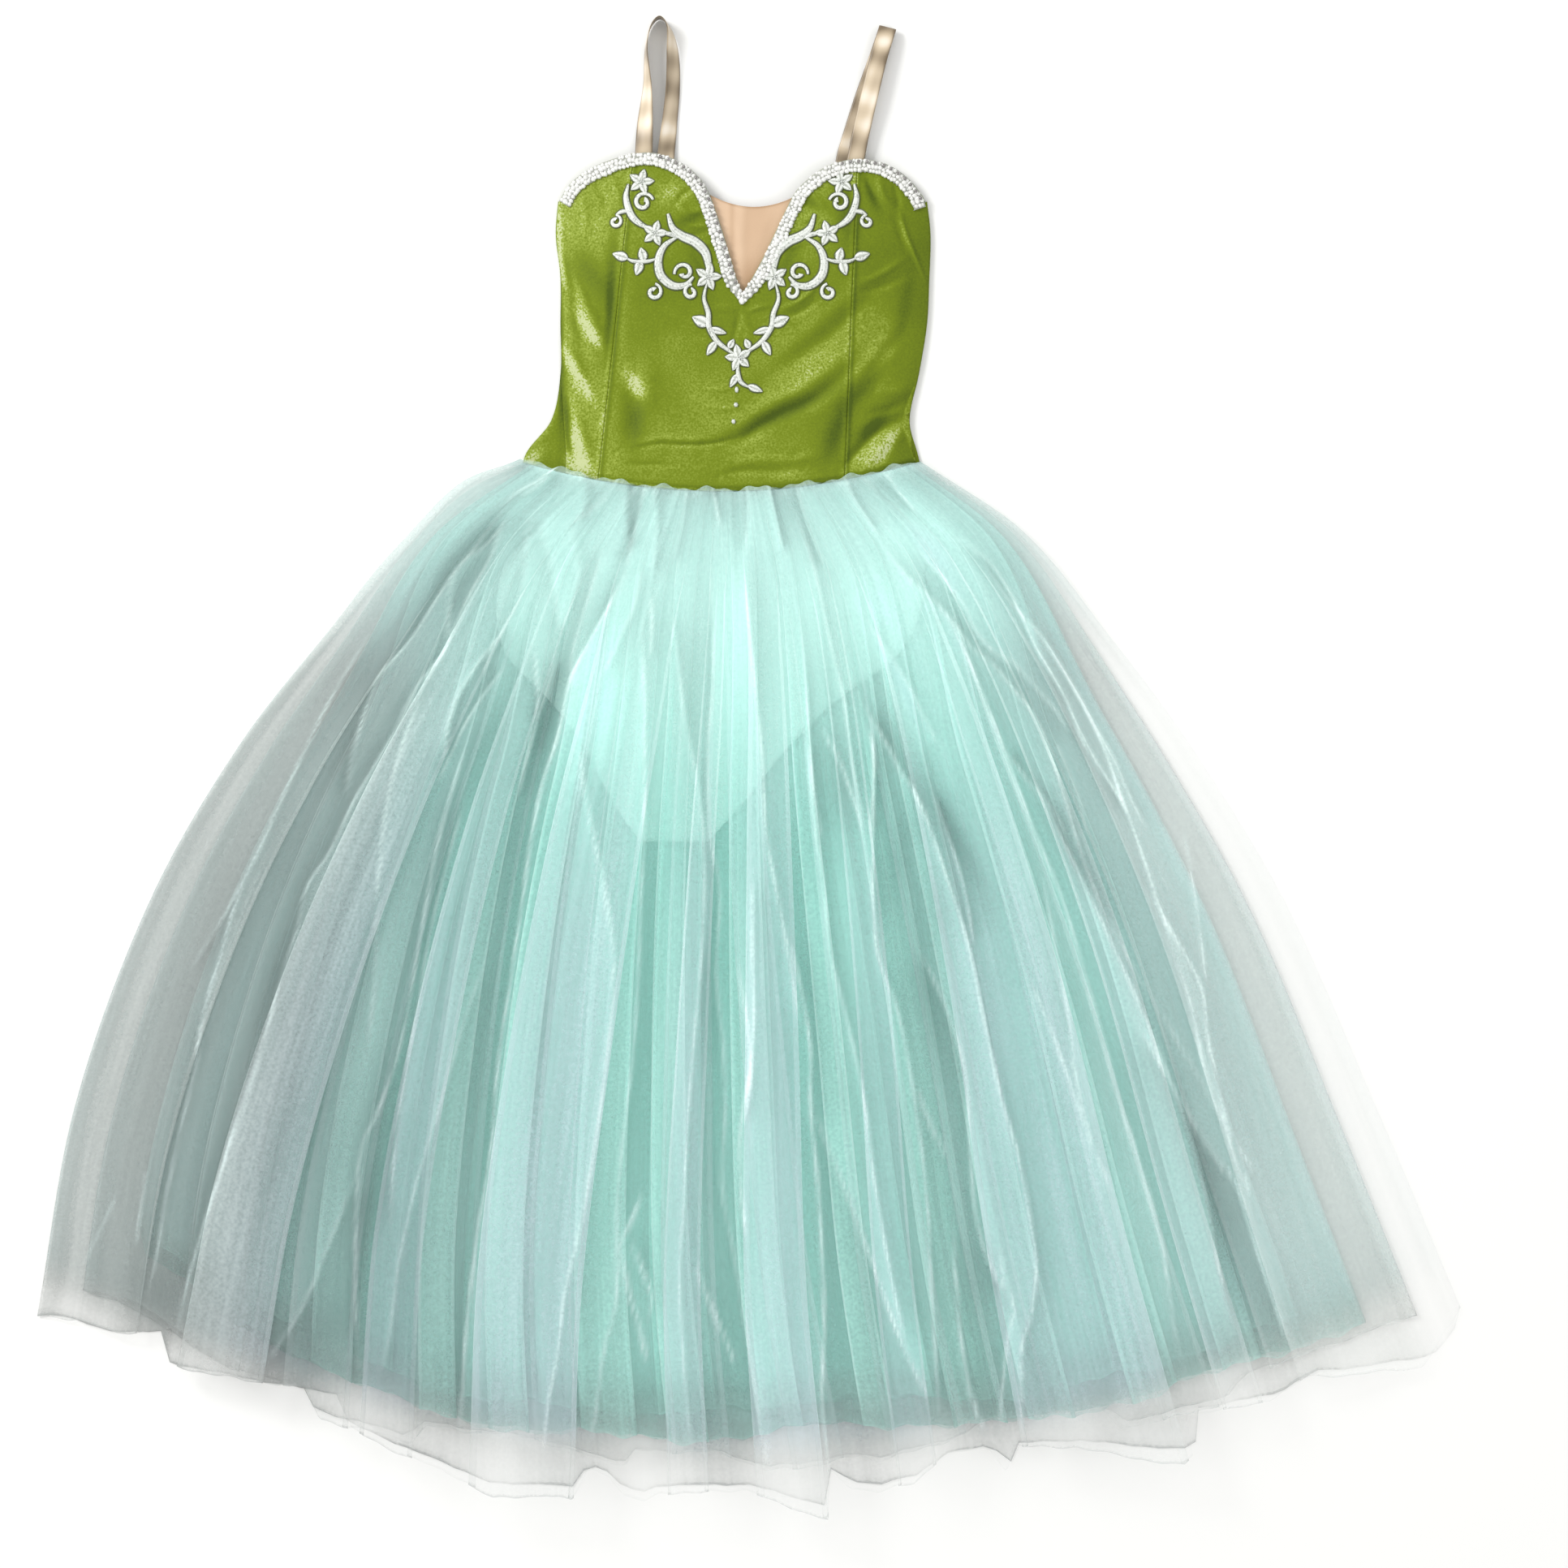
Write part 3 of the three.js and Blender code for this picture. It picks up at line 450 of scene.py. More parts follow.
@dataclass(frozen=True)
class Tulle(Finish):
    """Nylon tulle, a soft hexagonal net about 1 mm wide: its veil of threads lets what is under it show.

    The net is too fine to show, so it is drawn as 3 mm mottling and as streaks along the gathers.
    """

    name: str = "nylon_tulle"
    mottle_mm: float = 3.0
    streak_mm: float = 4.5
    streak_length_mm: float = 150.0

    def sockets(self, tree: Tree) -> dict:
        """Return the shader's sockets: tint and thread cover come from the piece's own attributes."""
        tint = add_node(tree, "Attribute", {"attribute_name": "tint"})
        veil = add_node(tree, "Attribute", {"attribute_name": "veil"})
        coords = add_node(tree, "TexCoord")
        mottle = add_node(tree, "TexNoise", {"Scale": 1 / MM / self.mottle_mm, "Detail": 1.0,
                                             "Vector": coords.outputs["Object"]})
        uv = add_node(tree, "UVMap", {"uv_map": "cloth"})
        drawn = add_node(tree, "Mapping", {"Scale": (1 / MM / self.streak_mm, 1 / MM / self.streak_length_mm, 1.0),
                                           "Vector": uv.outputs["UV"]})
        fine = add_node(tree, "TexNoise", {"Scale": 1.0, "Detail": 1.0, "Roughness": 0.6,
                                           "Vector": drawn.outputs["Vector"]})
        both = add_node(tree, "Math", {"operation": "ADD", 0: fine.outputs[0], 1: mottle.outputs[0]})
        cover = add_node(tree, "MapRange", {"From Min": 0.65, "From Max": 1.35, "To Min": 0.75, "To Max": 1.25,
                                            "Value": both.outputs[0]})
        alpha = add_node(tree, "Math", {"operation": "MULTIPLY", "use_clamp": True, 0: veil.outputs["Fac"],
                                        1: cover.outputs["Result"]})
        return {"Base Color": tint.outputs["Color"], "Alpha": alpha.outputs[0], "Roughness": 0.75,
                "Specular IOR Level": 0.15}


@dataclass(frozen=True)
class Velvet(Finish):
    """Stretch velvet: a short brushed pile on a knit, dark where it is looked into and pale where it leans, both
    painted as shade and highlights.

    The pile's grain is drawn 1.7 mm wide, because real pile is finer than shows.
    """

    name: str = "stretch_velvet"
    tones: tuple[tuple[float, str], ...] = ((0.1, "#3f4f08"), (0.55, "#64740e"), (0.8, "#86953a"), (1.0, "#a9b181"))
    sheen: str = "#c3d070"
    grain_mm: float = 1.7
    cloud_mm: float = 45.0

    def sockets(self, tree: Tree) -> dict:
        """Return the shader's sockets: painted shade and highlights come from the attribute nap."""
        coords = add_node(tree, "TexCoord").outputs["Object"]
        nap = add_node(tree, "Attribute", {"attribute_name": "nap"})
        grain = add_node(tree, "TexNoise", {"Scale": 1 / MM / self.grain_mm, "Detail": 2.0, "Vector": coords})
        cloud = add_node(tree, "TexNoise", {"Scale": 1 / MM / self.cloud_mm, "Detail": 3.0, "Vector": coords})
        # Soft clouds of pile tone are added to the painted shade and highlights.
        cloudy = add_node(tree, "Math", {"operation": "MULTIPLY_ADD", 0: cloud.outputs[0], 1: 0.3,
                                         2: nap.outputs["Fac"]})
        gain = add_node(tree, "MapRange", {"From Min": 0.55, "From Max": 1.0, "To Min": 0.35, "To Max": 2.1,
                                           "Value": cloudy.outputs[0]})
        centred = add_node(tree, "Math", {"operation": "SUBTRACT", 0: grain.outputs[0], 1: 0.5})
        grain_and_painted_light = add_node(tree, "Math", {"operation": "MULTIPLY_ADD", 0: centred.outputs[0],
                                      1: gain.outputs["Result"], 2: cloudy.outputs[0]})
        ramp = add_node(tree, "ValToRGB", {"stops": self.tones, "Fac": grain_and_painted_light.outputs[0]})
        bump = add_node(tree, "Bump", {"Strength": 0.25, "Distance": 0.0004, "Height": grain.outputs[0]})
        return {"Base Color": ramp.outputs["Color"], "Normal": bump.outputs["Normal"], "Roughness": 0.62,
                "Specular IOR Level": 0.15, "Sheen Weight": 0.2, "Sheen Roughness": 0.4,
                "Sheen Tint": linear(self.sheen)}


@dataclass(frozen=True)
class Satin(Finish):
    """Satin-faced elastic: fine ribs along the ribbon, a soft gloss across it and painted highlights and shade."""

    name: str = "satin_elastic"
    tones: tuple[tuple[float, str], ...] = ((0.0, "#665741"), (0.33, "#998971"), (0.66, "#bdad94"), (1.0, "#ded5c6"))
    rib_mm: float = 1.1

    def sockets(self, tree: Tree) -> dict:
        """Return the shader's sockets: ribs follow the cloth's coordinates, the attribute shine its painted
        highlights and shade.
        """
        uv = add_node(tree, "UVMap", {"uv_map": "cloth"})
        rib = add_node(tree, "TexWave", {"Scale": 1 / MM / self.rib_mm / WAVE_UNIT, "Distortion": 0.6,
                                         "bands_direction": "X", "Vector": uv.outputs["UV"]})
        shine = add_node(tree, "Attribute", {"attribute_name": "shine"})
        tone = add_node(tree, "ValToRGB", {"stops": self.tones, "Fac": shine.outputs["Fac"]})
        bump = add_node(tree, "Bump", {"Strength": 0.2, "Distance": 0.0003, "Height": rib.outputs["Fac"]})
        return {"Base Color": tone.outputs["Color"], "Normal": bump.outputs["Normal"], "Roughness": 0.42,
                "Sheen Weight": 0.2}


@dataclass(frozen=True)
class Knit(Finish):
    """Plain knitted cloth, such as power net or jersey: matt, with a fine even mesh and soft clouds.

    Where the piece has the attribute deep, the cloth is darkened towards that painted shade colour.
    """

    light: str
    shade: str
    mesh_mm: float = 1.3
    deep: str = "#8d6a45"

    def sockets(self, tree: Tree) -> dict:
        """Return the shader's sockets: two tones mixed by soft clouds, with a fine mesh in relief."""
        coords = add_node(tree, "TexCoord").outputs["Object"]
        cloud = add_node(tree, "TexNoise", {"Scale": 22.0, "Detail": 2.0, "Vector": coords})
        holes = add_node(tree, "TexVoronoi", {"Scale": 1 / MM / self.mesh_mm, "Vector": coords})
        tone = add_node(tree, "Mix", {"data_type": "RGBA", 0: cloud.outputs[0], 6: linear(self.shade),
                                      7: linear(self.light)})
        bump = add_node(tree, "Bump", {"Strength": 0.15, "Distance": 0.0003, "Height": holes.outputs["Distance"]})
        deep = add_node(tree, "Attribute", {"attribute_name": "deep"})
        shaded = add_node(tree, "Mix", {"data_type": "RGBA", 0: deep.outputs["Fac"], 6: tone.outputs[2],
                                        7: linear(self.deep)})
        return {"Base Color": shaded.outputs[2], "Normal": bump.outputs["Normal"], "Roughness": 0.7,
                "Sheen Weight": 0.25}


@dataclass(frozen=True)
class Thread(Finish):
    """Rayon embroidery thread laid side by side: silver-white, with a silky gloss and shaded gaps."""

    name: str = "embroidery_thread"
    light: str = "#cfd2cc"
    shade: str = "#7c827c"
    shadow_rim_colour: str = "#3f4a1e"
    thread_mm: float = 1.6

    def sockets(self, tree: Tree) -> dict:
        """Return the shader's sockets: threads cross each motif, and the attribute edge marks its dark rim of painted
        shadow and its painted shade in grooves.
        """
        uv = add_node(tree, "UVMap", {"uv_map": "cloth"})
        stitches = add_node(tree, "TexWave", {"Scale": 1 / MM / self.thread_mm / WAVE_UNIT, "Distortion": 2.5,
                                              "Detail": 2.0, "bands_direction": "X", "Vector": uv.outputs["UV"]})
        coords = add_node(tree, "TexCoord")
        specks = add_node(tree, "TexNoise", {"Scale": 650.0, "Detail": 2.0, "Vector": coords.outputs["Object"]})
        speckled = add_node(tree, "MapRange", {"From Min": 0.3, "From Max": 0.45, "Value": specks.outputs[0]})
        tone = add_node(tree, "Mix", {"data_type": "RGBA", 0: speckled.outputs["Result"], 6: linear(self.shade),
                                      7: linear(self.light)})
        bump = add_node(tree, "Bump", {"Strength": 0.5, "Distance": 0.0004, "Height": stitches.outputs["Fac"]})
        edge = add_node(tree, "Attribute", {"attribute_name": "edge"})
        with_painted_shadow = add_node(tree, "Mix", {"data_type": "RGBA", 0: edge.outputs["Fac"], 6: tone.outputs[2],
                                          7: linear(self.shadow_rim_colour)})
        return {"Base Color": with_painted_shadow.outputs[2], "Normal": bump.outputs["Normal"], "Roughness": 0.38,
                "Sheen Weight": 0.3}


@dataclass(frozen=True)
class Bead(Finish):
    """Small moulded glass beads or stones: smooth, with a bright point of light on each."""

    light: str
    shade: str
    roughness: float = 0.18

    def sockets(self, tree: Tree) -> dict:
        """Return the shader's sockets: a tone that is lighter and darker from bead to bead."""
        coords = add_node(tree, "TexCoord")
        cells = add_node(tree, "TexNoise", {"Scale": 330.0, "Detail": 1.0, "Vector": coords.outputs["Object"]})
        tone = add_node(tree, "Mix", {"data_type": "RGBA", 0: cells.outputs[0], 6: linear(self.shade),
                                      7: linear(self.light)})
        return {"Base Color": tone.outputs[2], "Roughness": self.roughness, "Coat Weight": 0.5, "IOR": 1.52}


@dataclass(frozen=True)
class Paper(Finish):
    """Plain white paper: matt, and very slightly cloudy."""

    name: str = "white_paper"

    def sockets(self, tree: Tree) -> dict:
        """Return the shader's sockets: two near tones mixed by soft clouds."""
        coords = add_node(tree, "TexCoord")
        cloud = add_node(tree, "TexNoise", {"Scale": 2.0, "Vector": coords.outputs["Object"]})
        tone = add_node(tree, "Mix", {"data_type": "RGBA", 0: cloud.outputs[0], 6: linear("#dcdcda"),
                                      7: linear("#dfdfdd")})
        return {"Base Color": tone.outputs[2], "Roughness": 0.9}


# ---- Creases ----


def crease(x: Array, y: Array, height: float, width: float, *line: float) -> Array:
    """Work out a soft ridge along a line: a bell across it that fades out at both ends.

    Args:
        x: places across.
        y: places along.
        height: how high it stands, or below 0 for a trough.
        width: the bell's width.
        line: x and y of each of the line's points in turn.
    Returns:
        The height at each place.
    """
    stops = np.array(line, dtype=float).reshape(-1, 2)
    steps = 12 * (len(stops) - 1) + 1
    along = through(stops, np.linspace(0, len(stops) - 1, steps))
    far = (x[..., None] - along[:, 0]) ** 2 + (y[..., None] - along[:, 1]) ** 2
    fade = np.sin(np.pi * np.clip(far.argmin(-1) / (steps - 1), 0.04, 0.96)) ** 0.7
    return height * fade * np.exp(-far.min(-1) / width**2)


# ---- Skirt ----


@dataclass(frozen=True)
class TulleLayer:
    """One gathered tulle layer of the skirt: a tube with a folded front over a flat back.

    reach is its share of the fan's width, waist the same at the seam, hem its length, rise its folds' height.
    tints are its colour at the waist, half way and at the hem, and fold_tint the same on its folds, low down.
    cover is the share that its threads hide at the left side, the middle and the right side, and fold_cover
    what that is multiplied by between folds and on them. rim, seam and right_from are how much more they hide
    at the cut edge and at the seam, and how far across the right side starts. puff is how far it stands up
    beside the waist's left end, scallop the same all along the waist, pleats how much its pressed edges show.
    """

    name: str
    reach: float
    waist: float
    hem: float
    rise: float
    folds: int
    turn: float
    tints: tuple[str, str, str]
    fold_tint: str
    side_tint: str
    cover: tuple[float, float, float]
    fold_cover: tuple[float, float]
    step: float
    rows: int
    flat: tuple[float, float]
    area: float
    rim: float = 0.5
    seam: float = 0
    right_from: float = 0.45
    puff: float = 0
    scallop: float = 0
    pleats: float = 0


LAYERS = (
    TulleLayer("underskirt", 0.8, 0.925, 0.93, 9, 10, 0.3, ("#bdf0e6", "#8bd3c4", "#90cfc3"), "#a0e0d3",
               "#9cbebb", (0.36, 0.38, 0.38), (0.9, 1.15), 3.4, 64, (2.2, 0.9), 1.4),
    TulleLayer("mint_skirt", 0.88, 0.95, 0.955, 11, 12, 1.9, ("#ccf6ef", "#98dbce", "#9cd6cb"), "#b2e6db",
               "#a0c5c2", (0.3, 0.27, 0.3), (0.8, 1.25), 3.0, 80, (2.4, 0.9), 1.5),
    TulleLayer("grey_veil", 0.945, 0.975, 0.98, 8, 10, 4.1, ("#c9f0ea", "#a9c9c7", "#a8b6b7"), "#adc5c4",
               "#abb8b5", (0.24, 0.1, 0.17), (0.6, 1.7), 2.8, 90, (2.6, 0.9), 1.6, rim=1.6, puff=8,
               scallop=0.8, pleats=0.35),
    TulleLayer("top_veil", 1.0, 1.0, 1.0, 10, 0, 0.0, ("#d8f7f2", "#b8d0d0", "#acb7b9"), "#b9c7cf",
               "#adb7b4", (0.27, 0.12, 0.03), (0.5, 2.4), 2.1, 114, (2.8, 0.9), 1.7, rim=1.6,
               seam=1.2, right_from=0.9, puff=13, scallop=1.7, pleats=1),
)

# The veils' numbers among the layers.
FIRST_VEIL, TOP_VEIL = 2, 3

# Narrow ridges of crushed net: share across at the waist and at the hem, bend, height, width, from v, to v,
# and the innermost layer that has them.
RIDGES = (
    (-0.86, -0.78, 0.02, 2.2, 3.4, 0.2, 1, 3), (-0.62, -0.74, -0.02, 1.9, 3, 0.06, 0.8, 3),
    (-0.52, -0.6, 0.03, 2.4, 3.6, 0.3, 1, 2), (-0.46, -0.5, -0.02, 1.7, 2.6, 0.1, 0.6, 3),
    (-0.37, -0.43, 0.02, 2, 3, 0.2, 1, 2), (-0.24, -0.33, 0.015, 1.8, 2.8, 0.05, 0.9, 3),
    (-0.16, -0.27, -0.02, 2.2, 3.2, 0.35, 1, 3), (-0.12, -0.17, 0.02, 1.8, 2.6, 0.1, 0.75, 2),
    (0, -0.03, 0.02, 1.6, 2.6, 0.04, 0.6, 3), (0.06, 0.03, -0.02, 2.2, 3.2, 0.45, 1, 3),
    (0.14, 0.08, 0.01, 1.8, 2.8, 0.06, 0.8, 2), (0.24, 0.16, -0.02, 2, 3, 0.3, 1, 3),
    (0.33, 0.31, 0.03, 1.9, 2.8, 0.08, 0.7, 3), (0.41, 0.34, -0.015, 2.3, 3.4, 0.25, 1, 2),
    (0.5, 0.46, 0.03, 1.8, 2.6, 0.1, 1, 3), (0.57, 0.53, -0.02, 2.3, 3.2, 0.4, 1, 3),
    (0.7, 0.63, 0.02, 1.9, 3, 0.15, 0.9, 2), (0.78, 0.81, -0.03, 2.1, 3.4, 0.3, 1, 3),
    (0.88, 0.88, 0.02, 1.6, 3, 0.25, 0.9, 3), (-0.8, -1.2, 0, 1.8, 2.2, -0.1, 0.35, 2),
    (-0.66, -0.95, 0.02, 2.2, 2.4, -0.1, 0.42, 3), (-0.5, -0.85, 0, 2, 2.2, -0.1, 0.3, 2),
    (-0.4, -0.55, 0.02, 2.4, 2.6, -0.1, 0.5, 3), (-0.29, -0.5, 0, 1.8, 2.2, -0.1, 0.36, 3),
    (-0.2, -0.32, 0.01, 2.2, 2.4, -0.1, 0.45, 2), (-0.06, -0.12, 0, 1.9, 2.2, -0.1, 0.34, 3),
    (0.05, 0.12, 0.01, 2.2, 2.4, -0.1, 0.3, 3), (0.17, 0.3, 0, 1.8, 2.2, -0.1, 0.4, 2),
    (0.28, 0.46, -0.02, 2.2, 2.6, -0.1, 0.5, 3), (0.42, 0.62, 0, 2, 2.2, -0.1, 0.36, 3),
    (0.56, 0.85, 0, 2.2, 2.4, -0.1, 0.42, 2), (0.68, 1, 0.02, 1.8, 2.2, -0.1, 0.34, 3),
    (0.8, 1.1, 0, 2, 2.4, -0.1, 0.3, 3),
)

# Pressed edges of the outer net: in hundredths how strongly the edge shows, as a raised, denser line of net with a
# painted highlight, and the painted light or shade on the net to its left and to its right; how soon that fades out;
# x and y of each point down the skirt in turn.
PLEATS = (
    (50, 2, -16, 10, -300, -105, -345, -180, -380, -250, -402, -300, -425, -345, -448, -385, -470, -420),
    (80, -8, 10, 26, -392, -285, -425, -350, -440, -400, -455, -450, -463, -500, -475, -550, -488, -610, -496, -660,
     -506, -705),
    (95, -24, 10, 20, -262, -165, -298, -225, -325, -270, -345, -312, -366, -345, -374, -380, -387, -420, -402, -475,
     -420, -530, -440, -590, -458, -645, -473, -700, -484, -755),
    (75, -22, 8, 13, -186, -22, -208, -49, -235, -68, -258, -103, -277, -132, -304, -164, -318, -197, -329, -241,
     -331, -276),
    (50, -6, 6, 18, -262, -170, -285, -230, -298, -290, -303, -350, -306, -420, -312, -500),
    (85, -16, -8, 14, -218, -190, -238, -255, -254, -315, -264, -370, -274, -430, -287, -490, -303, -535, -318, -570,
     -322, -640, -322, -700, -320, -765),
    (60, -22, 8, 10, -226, -255, -242, -315, -258, -380, -268, -440, -278, -500, -288, -570, -292, -650),
    (60, 5, -10, 18, -208, -395, -230, -460, -250, -530, -268, -590, -284, -660, -292, -720, -300, -760),
    (70, 8, -16, 22, -322, -590, -342, -640, -362, -690, -385, -730, -402, -752),
    (50, 0, 4, 8, -532, -612, -546, -640, -560, -668),
    (60, -5, 0, 8, -506, -588, -510, -620, -514, -655),
    (60, -12, 6, 9, -160, 2, -170, -4, -189, -18, -212, -43, -239, -76, -247, -97),
    (60, 5, -6, 7, -239, -74, -243, -97, -245, -132),
    (75, -14, 10, 10, -198, -34, -208, -62, -224, -91, -241, -126, -249, -145, -272, -174, -292, -212),
    (70, 6, -18, 10, -192, -118, -208, -141, -217, -152, -235, -182, -244, -212, -245, -238),
    (50, -10, 5, 9, -173, -18, -178, -53, -182, -95, -193, -118, -208, -146, -213, -164),
    (80, -16, 5, 8, -194, -155, -212, -178, -228, -203, -240, -228, -253, -256),
    (45, -8, 10, 10, -170, -20, -158, -64, -152, -96, -149, -128),
    (40, 10, -6, 8, -143, -24, -133, -68, -135, -88, -147, -124),
    (85, -12, -22, 7, -151, -145, -158, -172, -168, -203, -178, -241, -184, -270),
    (80, -20, 0, 6, -170, -142, -167, -180, -169, -204),
    (50, 0, 4, 6, -106, -9, -122, -20, -140, -33),
    (60, -10, 8, 9, -110, -48, -122, -88, -131, -118, -138, -146, -140, -178),
    (95, -20, 10, 24, -84, -55, -102, -95, -122, -132, -140, -168, -150, -215, -163, -255, -173, -305, -180, -355,
     -188, -410, -200, -490, -206, -560, -216, -625, -226, -700, -232, -780, -236, -840),
    (50, 8, -8, 9, -78, -70, -84, -100, -94, -125, -112, -165),
    (70, 7, -10, 16, -70, -95, -78, -125, -76, -180, -76, -235, -76, -290, -79, -350, -81, -410, -86, -490, -96, -570,
     -100, -640, -100, -695, -111, -740, -119, -800, -130, -850),
    (90, 0, -10, 6, -72, -92, -70, -120, -71, -150),
    (60, 8, -8, 14, -128, -190, -130, -240, -120, -295, -109, -350, -102, -400, -104, -450, -112, -520, -120, -575,
     -132, -640, -143, -685, -150, -740, -160, -800, -164, -862),
    (55, 2, -16, 13, -58, -85, -50, -135, -42, -200, -32, -250, -26, -300, -25, -350, -28, -410, -36, -500, -42, -600,
     -46, -680, -43, -740, -38, -800, -34, -835),
    (55, -10, 8, 13, -22, -50, -18, -110, -18, -170, -22, -230, -20, -300, -12, -350, -15, -420, -9, -480, -8, -540,
     -10, -600, 0, -655, 8, -705, 18, -770, 28, -830, 50, -868),
    (65, 10, -6, 12, 5, -45, 12, -110, 18, -170, 24, -235, 28, -300, 38, -355, 48, -410, 60, -480),
    (95, 2, 3, 8, 2, -400, 10, -450, 14, -495, 6, -545, 6, -600, 11, -648),
    (70, 5, -16, 10, 16, -330, 16, -400, 17, -455, 14, -510, 8, -548),
    (60, 5, -12, 10, 50, -15, 60, -45, 68, -70, 75, -100, 82, -135, 88, -160, 94, -185, 98, -215, 102, -245, 108,
     -275, 113, -298),
    (70, 6, -20, 15, 55, -95, 61, -165, 65, -235, 69, -290, 76, -340, 82, -400, 92, -440, 104, -490, 113, -540, 119,
     -590, 129, -650, 140, -705, 152, -748),
    (80, -10, -10, 6, 74, -208, 90, -237, 102, -270, 110, -298),
    (75, 5, -20, 17, 104, -190, 118, -225, 119, -280, 118, -340, 122, -400, 138, -445, 149, -495, 158, -555, 165,
     -620, 169, -700, 173, -760, 176, -815),
    (95, 6, -13, 26, 45, -375, 56, -425, 65, -480, 65, -530, 71, -590, 75, -660, 77, -720, 75, -780, 80, -835, 83,
     -878),
    (95, -6, 14, 22, 66, -528, 90, -590, 110, -642, 130, -698, 150, -748, 168, -782),
    (75, 7, -24, 13, 96, -160, 112, -192, 128, -218, 142, -245, 154, -264, 169, -300, 185, -348, 201, -400, 212, -455,
     226, -518, 241, -570, 251, -620, 257, -665, 253, -705, 245, -735, 245, -790, 249, -815),
    (60, -5, 5, 16, 262, -330, 272, -385, 284, -450, 290, -500, 302, -560),
    (45, 6, -10, 10, 110, -112, 135, -150, 150, -175, 164, -203, 174, -224),
    (65, 6, -14, 12, 118, -38, 140, -70, 165, -95, 182, -112, 202, -138, 222, -155, 240, -177, 258, -200, 272, -235,
     284, -275, 298, -320, 315, -365, 332, -405),
    (60, -6, 6, 9, 150, -46, 165, -65, 180, -82, 197, -105, 206, -125, 220, -142, 242, -156, 260, -176, 277, -195,
     288, -215),
    (65, -18, 4, 9, 176, -40, 214, -62, 235, -90, 250, -120, 259, -140, 271, -160, 285, -185, 291, -200, 301, -222,
     316, -246, 330, -268, 338, -288),
    (50, -5, -28, 8, 168, -262, 182, -300, 196, -345, 204, -395),
    (40, 2, -10, 12, 204, -52, 235, -98, 262, -128, 286, -165, 306, -200, 326, -235, 342, -272, 358, -300),
    (60, 4, -12, 10, 118, -196, 119, -245, 117, -275, 116, -302),
    (60, 6, -10, 10, 64, -220, 66, -245, 70, -275, 76, -305),
    (40, 0, 6, 8, 276, -222, 282, -235, 291, -258, 298, -280, 301, -304),
    (50, 5, -20, 10, 232, -228, 246, -247, 270, -276, 286, -302),
    (70, -18, 3, 20, 150, -385, 178, -440, 196, -500, 201, -570, 206, -625, 218, -665, 238, -702),
    (70, -8, 3, 12, 225, -640, 230, -675, 238, -702, 232, -735, 228, -780, 225, -812),
    (85, -5, -12, 12, 186, -632, 190, -690, 196, -750, 207, -792, 218, -812),
    (100, -8, 0, 8, 154, -513, 170, -552, 182, -574),
    (100, 0, -4, 8, -34, -662, -20, -700, -5, -735, 3, -752),
    (95, 2, 12, 9, -76, -600, -88, -630, -97, -650, -90, -685, -80, -722, -73, -752),
    (80, 8, -14, 7, -88, -645, -77, -672, -70, -692, -72, -712),
    (60, -10, 5, 16, 250, -108, 288, -168, 314, -218, 330, -262, 350, -318, 370, -380, 390, -440, 402, -500, 414,
     -535),
    (85, 8, -10, 16, 172, -103, 188, -125, 200, -150, 210, -175, 222, -205, 233, -235, 246, -270, 262, -310, 280,
     -355, 295, -405, 311, -460, 327, -520, 346, -580, 363, -640, 373, -700, 382, -765),
    (60, 5, -5, 16, 250, -418, 275, -480, 296, -540, 322, -604),
    (60, 4, -26, 15, 252, -250, 278, -300, 300, -345, 322, -392, 346, -445, 370, -502, 391, -560, 406, -620, 416,
     -680, 432, -735),
    (50, 0, 5, 10, 318, -368, 345, -420, 376, -470, 405, -520, 428, -560, 448, -594),
    (70, -22, 7, 18, 340, -455, 368, -502, 392, -545, 415, -580, 431, -602, 446, -650, 462, -700, 478, -745),
    (60, 3, -6, 14, 346, -335, 378, -388, 400, -430, 406, -475, 416, -522, 428, -575, 450, -620),
    (50, 3, -3, 12, 386, -290, 397, -365, 405, -430),
    (20, 8, -40, 5, -92, 4, -93, -26, -90, -58),
    (20, 6, -35, 5, -130, 10, -127, -8, -133, -36),
    (50, -25, 10, 6, -76, 0, -84, -35, -92, -70),
    (30, 8, -25, 6, -69, 0, -66, -36, -71, -78),
    (30, 6, -20, 6, -40, 0, -44, -28, -52, -66),
    (80, -10, -30, 4, -20, 0, -17, -12, -12, -34),
    (30, -16, 8, 6, 10, 0, 12, -22, 10, -56),
    (30, 8, -35, 6, 29, 0, 34, -22, 42, -58),
    (40, -20, 6, 7, 52, 0, 64, -36, 78, -70),
    (40, 6, -25, 6, 94, 6, 104, -14, 124, -44),
    (60, -12, 6, 6, 128, 12, 140, -4, 156, -24),
    (50, 6, -16, 6, -150, 16, -162, 0, -182, -18),
)
